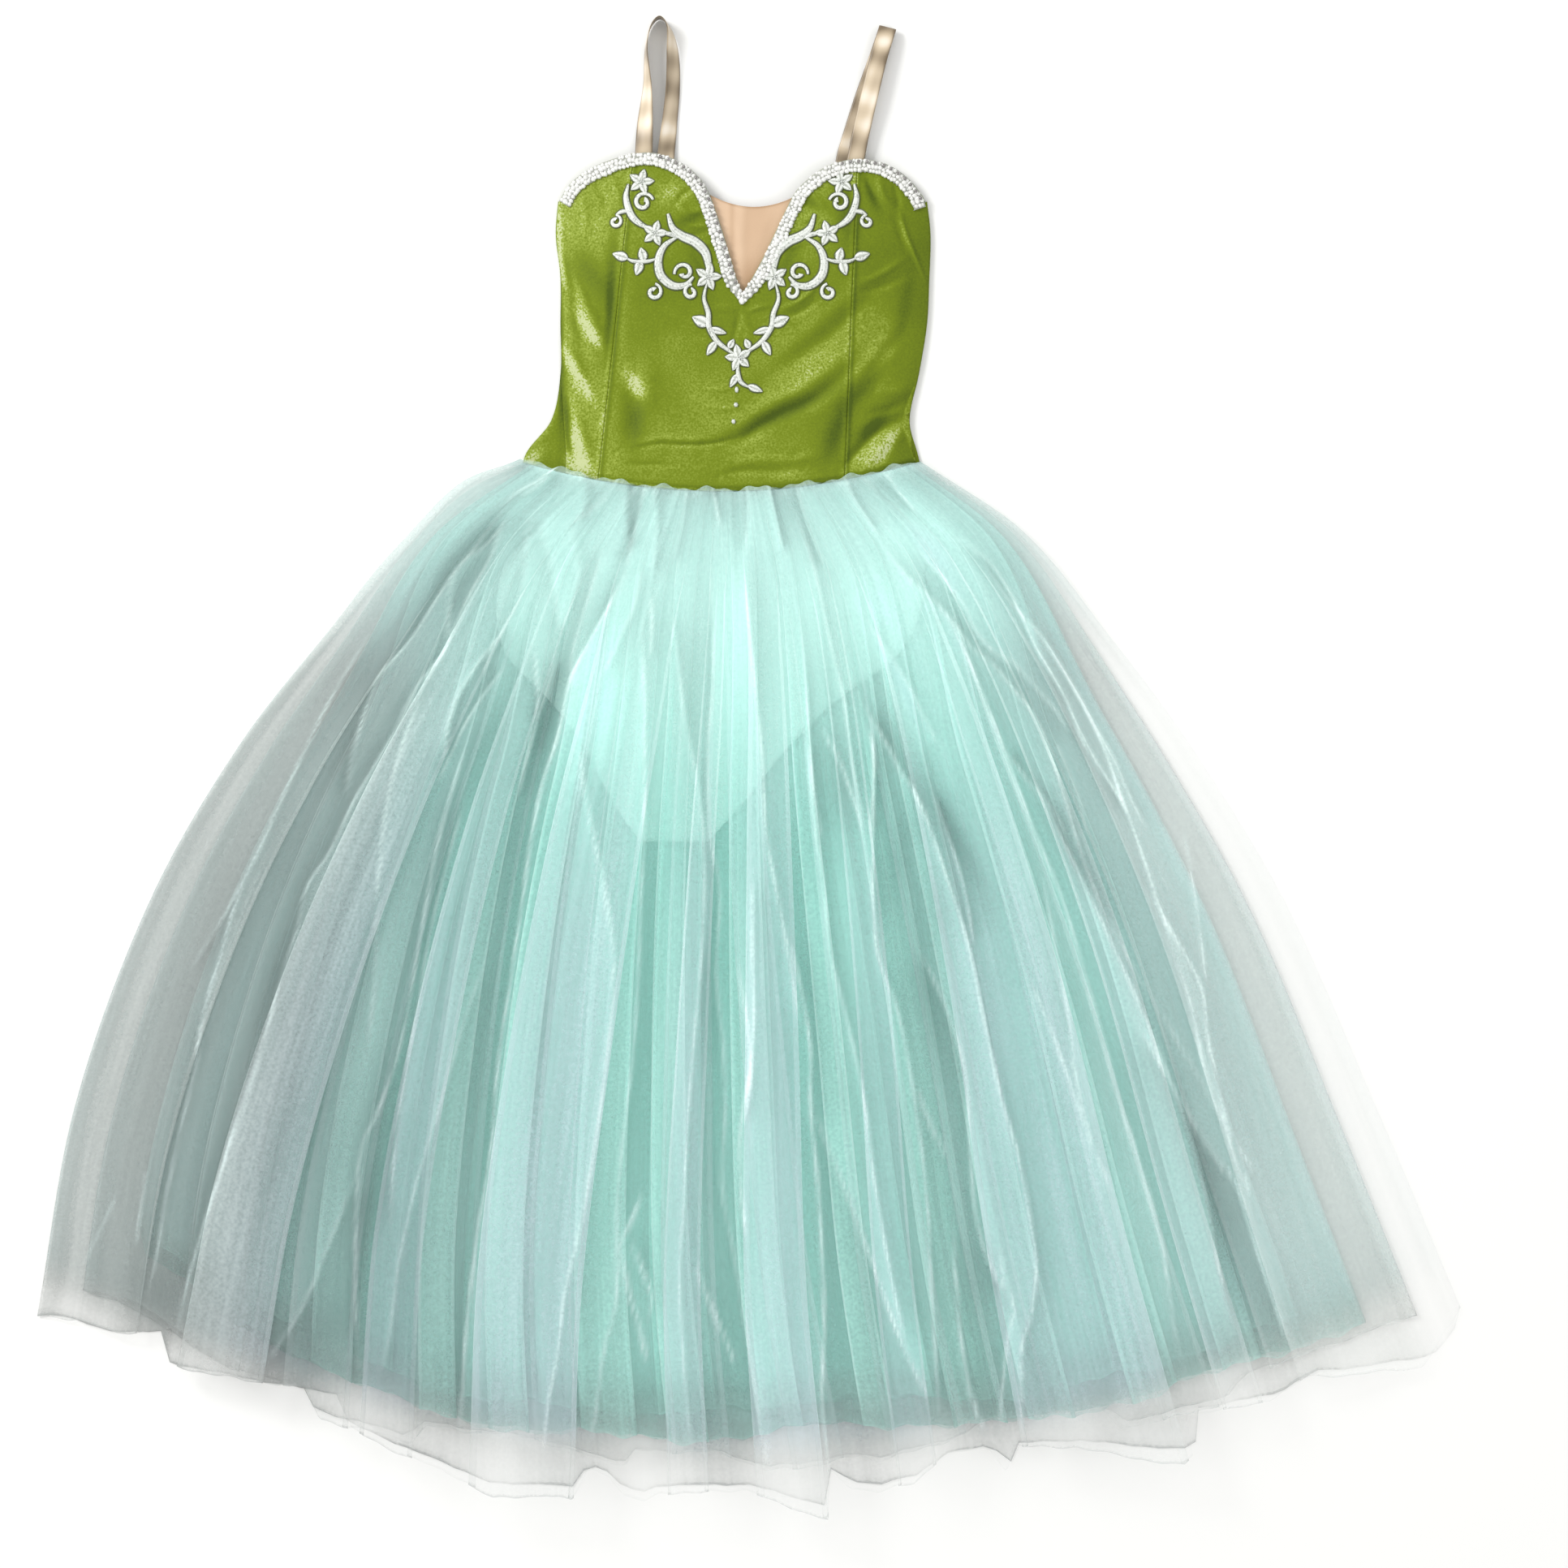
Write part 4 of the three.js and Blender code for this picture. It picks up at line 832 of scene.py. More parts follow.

# Wide patches of painted light and painted shade on the net: middle, half length, half width, direction, and how
# much.
NET_PAINTED_LIGHT = (
    (-118, -195, 58, 20, 80, 0.13), (126, -112, 56, 24, -58, 0.1), (2, -150, 90, 13, 88, 0.06),
    (-60, -300, 150, 15, 90, 0.05), (-208, -215, 46, 13, 72, -0.14), (-160, -196, 34, 6, 78, -0.25),
    (92, -262, 44, 20, 80, -0.12), (140, -320, 60, 15, 72, -0.12), (192, -305, 60, 9, -62, -0.2),
    (172, -450, 90, 16, -76, -0.16), (-19, -450, 60, 9, 90, -0.12), (118, -690, 90, 26, 105, -0.05),
    (208, -720, 70, 16, -84, -0.14), (-392, -420, 70, 9, 70, -0.12), (-350, -725, 40, 26, 60, -0.14),
    (-300, -720, 70, 14, 85, -0.1), (412, -615, 74, 15, -72, -0.16), (292, -318, 50, 8, -60, -0.2),
    (-460, -300, 90, 16, 62, -0.08), (-500, -690, 60, 16, 20, -0.08), (340, -600, 120, 30, -78, 0.05),
    (-70, -780, 70, 24, 0, -0.08), (60, -770, 60, 18, 90, 0.03), (-303, -600, 95, 22, 80, -0.2),
    (-382, -490, 110, 28, 74, -0.1), (-224, -69, 60, 24, 50, -0.22), (-92, -125, 40, 28, 85, -0.06),
    (93, -390, 120, 20, 96, 0.08), (172, -400, 90, 20, 100, -0.06), (208, -105, 70, 36, -52, 0.14),
    (160, -45, 50, 22, -40, 0.12), (93, -330, 190, 30, 97, 0.07), (165, -200, 60, 30, 105, 0.1),
    (172, -359, 40, 26, 105, -0.08), (-224, -230, 90, 40, 68, 0.08), (-360, -250, 80, 40, 60, 0.07),
    (251, -121, 40, 30, 125, 0.08),
)
# How many times its fade a pleat reaches, and its line's half width, straight and for each unit of slant.
PLEAT_REACH, PLEAT_LINE, PLEAT_SLANT = 3.5, 1.6, 3.2
# Distance down the skirt and how fast it spreads there, as a share of its half width to each millimetre.
SPREAD = np.array([(0, 0.007), (60, 0.0045), (160, 0.0022), (280, 0.0014), (440, 0.0009), (640, 0.0006),
                   (830, 0.0005)])


def painted_pleat_light(x: Array, y: Array) -> tuple[Array, Array]:
    """Work out the painted highlights on the pressed edges and the painted light and shade beside them and in
    patches.

    Each edge is a bell across its line, and what lies beside it fades out evenly with distance.

    Args:
        x: places across.
        y: places along.
    Returns:
        How much painted highlight of a pressed edge shows, and how much painted light or shade lightens or darkens
        the net.
    """
    line, tone = np.zeros_like(x), np.zeros_like(x)
    for pale, left, right, fade, *points in PLEATS:
        stops = np.array(points, dtype=float).reshape(-1, 2)
        steps = 14 * (len(stops) - 1) + 1
        path = through(stops, np.linspace(0, len(stops) - 1, steps))
        ahead = directions(path)
        low, high = path.min(axis=0) - PLEAT_REACH * fade, path.max(axis=0) + PLEAT_REACH * fade
        near = (x > low[0]) & (x < high[0]) & (y > low[1]) & (y < high[1])
        dx, dy = x[near][:, None] - path[:, 0], y[near][:, None] - path[:, 1]
        n = (dx * dx + dy * dy).argmin(axis=1)
        pick = np.arange(len(n))
        aside = dy[pick, n] * ahead[n, 0] - dx[pick, n] * ahead[n, 1]
        share = n / (steps - 1)
        ends = smooth(share, 0.0, 0.12) * (1 - smooth(share, 0.9, 1.0))
        across = np.interp(-path[:, 1], *SPREAD.T) * (path[:, 0] - WAIST_AT[0])
        slant = np.abs(ahead[:, 0] / np.minimum(ahead[:, 1], -0.15) + across)
        width = np.maximum(PLEAT_LINE, PLEAT_SLANT * slant)[n]
        spots = 0.8 + 0.2 * np.sin(0.11 * path[n, 1] + 0.07 * stops[0, 0])
        line[near] += pale / 100 * spots * ends * (PLEAT_LINE / width) ** 0.6 * np.exp(-((aside / width) ** 2))
        beside = np.where(aside > 0, right, left) / 100 * smooth(np.abs(aside), 0.3, 2.5)
        tone[near] += ends * beside * np.exp(-np.abs(aside) / fade)
    tone = (tone + ellipses(NET_PAINTED_LIGHT, x, y)) * lerp(1.6, 1.1, smooth(-y, 120, 380))
    return np.clip(line, 0, 1), np.clip(tone, -0.5, 0.35)


def fan_plan(u: Array, v: Array) -> tuple[Array, Array]:
    """Return x and y at share u across and v down: a fan whose rows are parabolas from fold to fold."""
    side, mid = track(FAN, v, 3), track(FAN, v, 4)
    return track(FAN, v, 2) + u * track(FAN, v, 1), mid + (side - mid) * u * u


def reach_at(k: int, v: Array) -> Array:
    """Return the share of the fan's width that layer k covers at v."""
    return lerp(LAYERS[k].waist, LAYERS[k].reach, smooth(v, 0.0, 0.3))


def back_top(k: int) -> float:
    """Return the height of the upper face of layer k's back."""
    return (len(LAYERS) - 1 - k) * (TULLE + SEAM) + TULLE


def edge_height(k: int, v: Array) -> Array:
    """Return the height of the side fold of layer k's front: stacked at the waist, on its own back below."""
    if k == 0:
        return np.full_like(v, back_top(0) + SEAM)
    return lerp(edge_height(k - 1, v) + LAYER, back_top(k) + SEAM, smooth(v, 0.06, 0.3))


def fold_height(k: int, u: Array, v: Array) -> Array:
    """Return how high layer k's folds may stand: its rise, faded out towards the side folds."""
    reach = reach_at(k, v)
    fade = 1 - smooth(np.abs(u), reach - lerp(0.25, 0.3, smooth(v, 0.0, 0.3)), reach)
    return LAYERS[k].rise * track(FOLD_RISE, np.clip(v, 0, 1), 1) * fade


def front_floor(k: int, u: Array, v: Array) -> Array:
    """Return the level that layer k's front lies on: the tops of the layer inside it, or its side strip."""
    at, own = np.abs(u), reach_at(k, v)
    if k == 0:
        return edge_height(0, v) + BRIEF_LIFT * (1 - smooth(at, own - BRIEF_RAMP, own))
    inner_v = np.minimum(v, LAYERS[k - 1].hem)
    reach = reach_at(k - 1, inner_v)
    inside = front_floor(k - 1, u, inner_v) + fold_height(k - 1, u, inner_v) + LAYER
    share = np.clip((at - reach) / (own - reach), 0, 1)
    outside = lerp(edge_height(k - 1, v) + LAYER, edge_height(k, v), share)
    return np.where(at <= reach, inside, outside)


def gathers(u: Array, v: Array) -> Array:
    """Return the gathers that all layers share: puffs and fine pleats at the waist, soft waves lower down."""
    near = np.exp(-((v / 0.09) ** 2))
    rise = smooth(v, 0.0, 0.012)
    fine = np.sin(u * 131 + 2.2 * np.sin(u * 7 + 9 * v)) + 0.7 * np.sin(u * 83 + 1.9 + 3 * np.sin(u * 5))
    puff = 1.6 + np.sin(u * 25 + 2 * np.sin(u * 6 + 1)) + 0.8 * np.sin(u * 39 + 3 * v + 2.5 * np.sin(u * 4))
    soft = np.sin(u * 47 + 2.5 * np.sin(3.1 * v + 5 * u)) + 0.6 * np.sin(u * 71 + 4 * v + 1.2)
    patchy = 0.55 + 0.45 * np.sin(u * 11 + 2) * np.sin(u * 17)
    return rise * near * (0.26 * patchy * fine + 1.1 * puff) + 0.3 * (1 - near) * soft


@dataclass
class Skirt:
    """The four tulle layers, each one tube. Folds are divided as the row at the share typical needs.

    Rows lie closer together at the waist by the power row_spacing. cut_edge, mint_hem and mint_shade are
    distances up from the cut edge, in millimetres, between which its rim, its cover and its painted shade fade out.
    """

    material: Material
    typical: float = 0.7
    row_spacing: float = 1.12
    last_row: float = 0.997
    back_columns: int = 121
    band_mm: float = 15.0
    cut_edge: tuple[float, float] = (1.0, 3.0)
    mint_hem: tuple[float, float] = (17, 43)
    mint_shade: tuple[float, float] = (9, 43)
    mint_hem_painted_shade: str = "#86a39c"
    veil_hem_tone: str = "#c6c9c6"
    painted_highlight_tones: tuple[tuple[float, ...], ...] = ((0.76, 0.95, 0.9), (0.64, 0.76, 0.75))

    def controls(self, k: int, v: Array) -> Array:
        """List a layer's fold points at each row: side strip, then neck, edge, crest, crown and back again.

        Args:
            k: the layer's number, from the inside.
            v: each row's place.
        Returns:
            Share across, height as a share of the fold's, and how dense it looks: 3 by points by rows.
        """
        layer = LAYERS[k]
        reach = reach_at(k, v)
        shoulder = (reach_at(k - 1, v) + 0.006) / reach if k else np.full_like(v, 0.975)
        if layer.folds:
            i = np.arange(layer.folds)[:, None]
            cell = 2 / (layer.folds + 0.4)
            sway = 0.16 * uneven(i, layer.turn + 1.3) * np.sin(2.4 * v + i)
            middle = -1 + cell * (i + 0.7 + 0.16 * uneven(i, layer.turn) + sway)
            half = cell * (0.29 + 0.09 * uneven(i, layer.turn + 2.1))
            left, right = shoulder * (middle - half), shoulder * (middle + half)
            dense = 1 + 0.5 * uneven(i, layer.turn + 5.1)
        else:
            table = VEIL_FOLDS.T[:, :, None]
            left, right = lerp(table[0], table[2], v), lerp(table[1], table[3], v)
            dense = table[4]
        dense = dense + 0 * v
        cell = 2 / len(left)
        room = right - left
        laps = []
        for edge in (left, right):
            stand = fold_height(k, edge * reach, v)
            laps.append(np.minimum(LAP_SHARE * cell * np.clip((stand - 2.5) / 4, -0.6, 1), 0.36 * room))
        rows = [(-1 + 0 * v, 0 * v, 0 * v), (-shoulder, 0 * v, 0 * v)]
        for n in range(len(left)):
            a, b, la, lb, d = left[n], right[n], laps[0][n], laps[1][n], dense[n]
            for across, high in (
                (a + 0.9 * la, 0.1), (a, 0.5), (a + 0.6 * np.abs(la), 1.0), ((a + b) / 2, 0.86),
                (b - 0.6 * np.abs(lb), 1.0), (b, 0.5), (b - 0.9 * lb, 0.1),
            ):
                rows.append((across, high + 0 * v, d))
            if n + 1 < len(left):
                rows.append(((b + left[n + 1]) / 2, 0 * v, (d + dense[n + 1]) / 2))
        rows += [(shoulder, 0 * v, 0 * v), (1 + 0 * v, 0 * v, 0 * v)]
        return np.array(rows).transpose(1, 0, 2)

    def front(self, k: int) -> dict[str, Array]:
        """Work out a layer's front: B-spline folds across rows, raised on what lies under them.

        Args:
            k: the layer's number.
        Returns:
            Grids by name: its points, the places u and v, how far on a fold and how dense, the run of the cloth
            across, the pleats' painted highlight line and painted light and shade, and how far above the cut edge.
        """
        layer = LAYERS[k]
        down = self.rows_down(layer.rows)
        stops = self.controls(k, down * layer.hem)
        knots, slopes = stops.copy(), np.zeros_like(stops)
        knots[:, 2:-2] = (stops[:, 1:-3] + 4 * stops[:, 2:-2] + stops[:, 3:-1]) / 6
        slopes[:, 1:-1] = (stops[:, 2:] - stops[:, :-2]) / 2
        for near, far, at, apart in ((0, 2, 1, 2), (-3, -1, -2, 2), (0, 1, 0, 1), (-2, -1, -1, 1)):
            slopes[:, at] = (knots[:, far] - knots[:, near]) / apart
        typical = int(self.typical * layer.rows)
        across, high = knots[0][:, typical], knots[1][:, typical]
        rise = fold_height(k, across, np.full(len(across), self.typical)) * high
        span = np.hypot(np.diff(across) * track(FAN, down[typical], 1), np.diff(rise))
        counts = np.maximum(3, np.ceil(span / layer.step)).astype(int)
        places = np.concatenate([n + np.arange(c) / c for n, c in enumerate(counts)] + [[len(counts)]])
        i = np.minimum(places.astype(int), len(counts) - 1)
        spline = cubic(knots[:, i], knots[:, i + 1], slopes[:, i], slopes[:, i + 1], (places - i)[:, None])
        across, high, dense = spline.transpose(0, 2, 1)
        share = down[:, None] + 0 * across
        v = share * layer.hem
        v = v + self.hem_drop(k, across * reach_at(k, v)) / FAN_LENGTH * share**6
        u = across * reach_at(k, v)
        x, y = fan_plan(u, v)
        z = front_floor(k, u, v) + TULLE / 2 + np.clip(high, 0, 1.05) * fold_height(k, u, v)
        keep = 1 - smooth(np.abs(across), 0.9, 1.0)
        z += (gathers(u, v) + 1.0) * keep
        z += 0.5 * self.ridges(k, u, v) * keep
        line, tone = painted_pleat_light(x, y)
        if k >= FIRST_VEIL:
            z += 0.7 * line * keep
            scallops = 1.2 + np.sin(u * 27 + k) + 0.7 * np.sin(u * 61 + 2 * k)
            y += scallops * (1 - smooth(v, 0.0, 0.025)) * keep * layer.scallop
            y += self.shoulder(k, across, v)
        run = np.concatenate([[0], np.cumsum(np.interp(places[1:], np.arange(1, len(span) + 1), span)
                                             * np.diff(places))])
        return {"point": np.stack([x, y, z], -1), "u": u, "v": v, "fold": np.clip(high, 0, 1), "dense": dense,
                "run": run + 0 * u, "line": line * layer.pleats, "tone": tone,
                "edge": (1 - share) * layer.hem * FAN_LENGTH}

    def rows_down(self, count: int) -> Array:
        """Return how far down each row lies: closer at the waist, and one more just above the cut edge."""
        return np.append(np.linspace(0, 1, count - 1)[:-1] ** self.row_spacing, (self.last_row, 1))

    def shoulder(self, k: int, across: Array, v: Array) -> Array:
        """Return how far a layer puffs up beside the left end of the waist."""
        return LAYERS[k].puff * smooth(-across, 0.55, 0.98) * np.exp(-(((v - 0.04) / 0.03) ** 2))

    def hem_drop(self, k: int, u: Array) -> Array:
        """Return how far a layer's hem hangs below its curve: its table, and small waves of the cut edge."""
        waves = 1.3 * np.sin(u * 67 + k) + 1.0 * np.sin(u * 149 + 2 * k)
        if k == TOP_VEIL:
            return np.interp(u, *TOP_HEM.T) + 0.6 * waves
        if k == FIRST_VEIL:
            return np.interp(u, *GREY_HEM.T) + 0.8 * waves
        return np.interp(u, *MINT_HEM.T) + waves * 1.3 + 3 * np.sin(u * 23 + 2 * k)

    def ridges(self, k: int, u: Array, v: Array) -> Array:
        """Return the crushed ridges of a layer: bells across lines that run down the fan."""
        total = np.zeros_like(u)
        half = track(FAN, v, 1)
        for waist, hem, bend, height, width, start, end, inner in RIDGES:
            if inner > k:
                continue
            line = lerp(waist, hem, v) + bend * np.sin(math.pi * v) + 0.3 * bend * np.sin(9 * v)
            fade = smooth(v, start, start + 0.15) * (1 - smooth(v, end - 0.15, end + 0.001) * (end < 1))
            total += height * fade * np.exp(-(((u - line) * half / width) ** 2))
        return total

    def back(self, k: int, width: float) -> dict[str, Array]:
        """Work out a layer's back, flat on the surface, from its right side fold to its left.

        Args:
            k: the layer's number.
            width: how wide its cut is.
        Returns:
            Grids with the same names as the front's.
        """
        layer = LAYERS[k]
        across = np.linspace(1, -1, self.back_columns)[None, 1:-1]
        share = self.rows_down(layer.rows)[:, None]
        v = share * (layer.hem + 0.004)
        drop = 0.8 * self.hem_drop(k, 0.98 * across * reach_at(k, v)) - 3
        v = v + drop / FAN_LENGTH * share**6
        u = across * reach_at(k, v)
        x, y = fan_plan(u, v)
        y += self.shoulder(k, across, v)
        z = np.full_like(x, back_top(k) - TULLE / 2) + 0.12 * np.sin(u * 40) * smooth(v, 0.02, 0.2)
        return {"point": np.stack([x, y, z], -1), "u": u, "v": v, "fold": 0.5 + 0.5 * np.sin(u * 31 + k),
                "dense": 1 + 0 * u, "run": (1 - u) * width / 2, "line": 0 * u, "tone": 0 * u,
                "edge": (1 - share) * layer.hem * FAN_LENGTH + 0 * u}

    def build(self, k: int) -> Piece:
        """Make one layer: its front, then its back under it, joined along both side folds.

        Args:
            k: the layer's number.
        Returns:
            The piece.
        """
        layer = LAYERS[k]
        front = self.front(k)
        wide = float(front["run"].max())
        back = self.back(k, wide)
        back["run"] = back["run"] + wide
        both = {key: np.concatenate([front[key], back[key]], axis=1) for key in front}
        rows, columns = both["u"].shape
        under = np.zeros((rows, columns))
        under[:, front["u"].shape[1]:] = 1
        lean = np.abs(grid_normals(both["point"])[..., 2])
        lean[:, [0, front["u"].shape[1] - 1, front["u"].shape[1], -1]] = 0.5
        bands = self.bands(k, both["run"], both["v"])
        cover = np.clip(self.cover(k, both) * (1 + 0.35 * under) * (1 + 0.17 * bands), 0, 0.8)
        veil = 1 - (1 - cover) ** (1 / np.clip(lean, 0.3, 1.0))
        # The backs are painted darker, as painted shade under the fronts.
        tint = self.tint(k, both, lean * (1 - under) + under) * (1 - 0.26 * under[..., None])
        tint = np.clip(tint * (1.0 + 0.06 * bands[..., None]), 0, 1)
        uv = np.stack([both["run"], both["v"] * FAN_LENGTH], -1) * MM
        faces = grid_faces(rows, columns, around=True, turned=True)
        piece = new_piece(layer.name, both["point"].reshape(-1, 3), faces, self.material, uv.reshape(-1, 2),
                          {"veil": veil.reshape(-1)}, tint.reshape(-1, 3))
        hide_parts(f"{layer.name}_front", f"{layer.name}_back")
        return piece

    def bands(self, k: int, run: Array, v: Array) -> Array:
        """Return uneven bands along the gathers, from -1 to 1: smooth steps between random values."""
        values = np.random.default_rng(20 + k).uniform(-1, 1, (5, 400))
        i = run / self.band_mm
        j = np.clip(v, 0, 0.999) * 4
        column, row = i.astype(int) % 399, j.astype(int)
        s, t = smooth(i % 1, 0, 1), smooth(j % 1, 0, 1)
        return lerp(lerp(values[row, column], values[row, column + 1], s),
                    lerp(values[row + 1, column], values[row + 1, column + 1], s), t)

    def cover(self, k: int, at: dict[str, Array]) -> Array:
        """Return the share that the threads hide: by side, by fold, more at the seam and at the cut edge.

        Args:
            k: the layer's number.
            at: the layer's grids.
        Returns:
            The share at each point, for a thread sheet seen square on.
        """
        layer = LAYERS[k]
        left, middle, right = layer.cover
        v, side = at["v"], np.clip(at["u"] / reach_at(k, at["v"]), -1, 1)
        outer = smooth(v, 0.05, 0.3)
        share = np.where(side < 0, lerp(middle, left, smooth(-side, 0.4, 0.9) * outer),
                         lerp(middle, right, smooth(side, layer.right_from, 0.97) * outer))
        between, on = layer.fold_cover
        folded = lerp(between, 1 + (on - 1) * at["dense"], at["fold"])
        low = smooth(v, 0.12, 0.45) * (1 - smooth(np.abs(side), 0.8, 0.95))
        if k < FIRST_VEIL:
            hem = 0.35 * (1 - smooth(at["edge"], *self.mint_hem))
        else:
            hem = -0.5 * smooth(v, layer.hem - 0.05, layer.hem - 0.02) * (1 - smooth(side, 0.8, 0.92))
        rim = (1 - smooth(at["edge"], *self.cut_edge)) * layer.rim
        seam = (1 - smooth(v, 0.004, 0.014)) * layer.seam
        spread = lerp(1, folded, low) * (1 + 0.35 * np.exp(-((v / 0.1) ** 2)) + hem + rim + seam)
        # The net is made denser where painted light lightens it, and along the pressed edges.
        return share * spread * (1 + 0.6 * np.maximum(at["tone"], 0)) + 0.36 * at["line"]

    def tint(self, k: int, at: dict[str, Array], lean: Array) -> Array:
        """Return the net's colour: tones from waist to hem, another on folds and at the sides, painted highlights on
        slopes and edges, and painted light and shade.

        Args:
            k: the layer's number.
            at: the layer's grids.
            lean: how square each point lies to the view from above.
        Returns:
            A linear colour for each point.
        """
        layer = LAYERS[k]
        waist, half, low, fold, side = (
            np.array(linear(tone)[:3]) for tone in (*layer.tints, layer.fold_tint, layer.side_tint))
        u, v = at["u"], at["v"]
        colour = lerp(lerp(waist, half, smooth(v, 0.03, 0.38)[..., None]), low, smooth(v, 0.45, 0.95)[..., None])
        colour = lerp(colour, fold, (at["fold"] * smooth(v, 0.2, 0.6))[..., None])
        colour = lerp(colour, side, (smooth(np.abs(u), 0.5, 0.88) * smooth(v, 0.03, 0.25))[..., None])
        # Painted light and shade: darker at the left, the waist and the hem, lighter towards the right.
        light = np.interp(v, *PAINTED_LIGHT_DOWN.T) * lerp(1, np.interp(u, *PAINTED_LIGHT_ACROSS.T), smooth(v, 0.08, 0.35))
        # Painted highlights: the net is painted paler where it slants away from square and along the pressed edges.
        pale = lerp(*np.array(self.painted_highlight_tones), smooth(v, 0.15, 0.6)[..., None])
        colour = lerp(colour, pale, np.maximum(0.6 * (1 - smooth(lean, 0.45, 0.9)), 0.95 * at["line"])[..., None])
        # Painted shade near the mint layers' cut edge; the veils' own grey near their hem.
        hem_shade_and_colour = np.array(linear(self.mint_hem_painted_shade if k < FIRST_VEIL else self.veil_hem_tone)[:3])
        hem = 0.75 * (1 - smooth(at["edge"], *self.mint_shade)) if k < FIRST_VEIL else 0.9 * smooth(v, 0.93, 0.97)
        colour = lerp(colour, hem_shade_and_colour, hem[..., None])
        if k >= FIRST_VEIL:
            colour = colour * (1 - 0.3 * (1 - smooth(at["edge"], *self.cut_edge)))[..., None]
        # The painted light and shade of the folds and pleats multiply the colour too.
        return np.clip(colour * (light * (1 + at["tone"]))[..., None], 0, 1)


# ---- Brief ----


@dataclass
class Brief:
    """The attached brief: two smooth jersey panels, cut high at the leg."""

    material: Material
    top: float = -3
    rows: int = 70
    columns: int = 41

    def build(self) -> list[Piece]:
        pieces = []
        y = np.linspace(self.top, BRIEF[-1, 0], self.rows)[:, None]
        across = np.linspace(-1, 1, self.columns)[None, :]
        table = BRIEF * np.array([-1, 1, 1])
        half, centre = track(table, -y, 1), track(table, -y, 2)
        for name, level in (("brief_back", back_top(0) + SEAM), ("brief_front", back_top(0) + 2 * SEAM + LYCRA)):
            dip = np.where(y > -40, np.minimum(0.0012 * (across * half) ** 2 - 6, 12) * smooth(y, -40, self.top), 0)
            x = centre + across * half
            edge = smooth(np.abs(across), 0.93, 1.0)
            upper = np.stack([x, y + dip, level + LYCRA * (1 - 0.35 * edge) + 0 * x], -1)
            lower = np.stack([x, y + dip, level + LYCRA * 0.35 * edge + 0 * x], -1)
            piece = new_wall(f"{name}_jersey", upper, lower, self.material)
            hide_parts(name)
            pieces.append(piece)
        return pieces


# ---- Bodice ----

# Painted highlights and painted shade on the velvet: middle, half length, half width, direction in degrees, and
# how much paler or darker it is painted there.
VELVET_PAINTED_LIGHT = (
    (-128, 139, 20, 4, -57, 0.45), (-122, 128, 9, 5, -50, 0.28), (-136, 98, 26, 4, -58, 0.45),
    (-146, 176, 30, 3, -72, 0.3), (-134, 34, 20, 5, -70, 0.45), (-136, 20, 12, 6, -30, 0.4),
    (-88, 90, 12, 6, -60, 0.45), (-82, 82, 8, 6, -40, 0.25), (-84, 56, 24, 8, 85, -0.42),
    (-106, 162, 46, 6, 88, -0.45), (-149.5, 110, 70, 2.4, 90, -0.5), (119, 52, 16, 5, 40, -0.5),
    (-112, 150, 30, 3, 88, 0.2), (-150, 206, 32, 2.6, 92, 0.4), (-123, 182, 24, 10, -60, -0.25),
    (-144, 58, 24, 3.2, 95, -0.6), (134, 38, 20, 4.5, 58, 0.45), (124, 24, 16, 6, 48, 0.4),
    (125, 120, 44, 24, 62, 0.16), (78, 112, 34, 14, 32, 0.14), (146, 150, 40, 6, 80, -0.2), (88, 48, 28, 9, 70, -0.4),
    (48, 64, 48, 6, 26, -0.45), (-140, 160, 40, 4, 98, -0.3), (112, 84, 30, 6, 50, -0.25), (96, 236, 30, 9, 96, -0.3),
    (44, 190, 26, 6, 60, -0.22), (-30, 186, 24, 6, 110, -0.2), (-56, 251, 13, 9, 40, 0.22),
    (-40, 228, 16, 5, 20, -0.3), (62, 246, 16, 5, 150, -0.3), (118, 250, 16, 5, 110, -0.3),
    (104, 262, 12, 4, 110, 0.2), (-10, 100, 60, 30, 0, 0.05), (-177, 22, 14, 5, 45, 0.45),
)

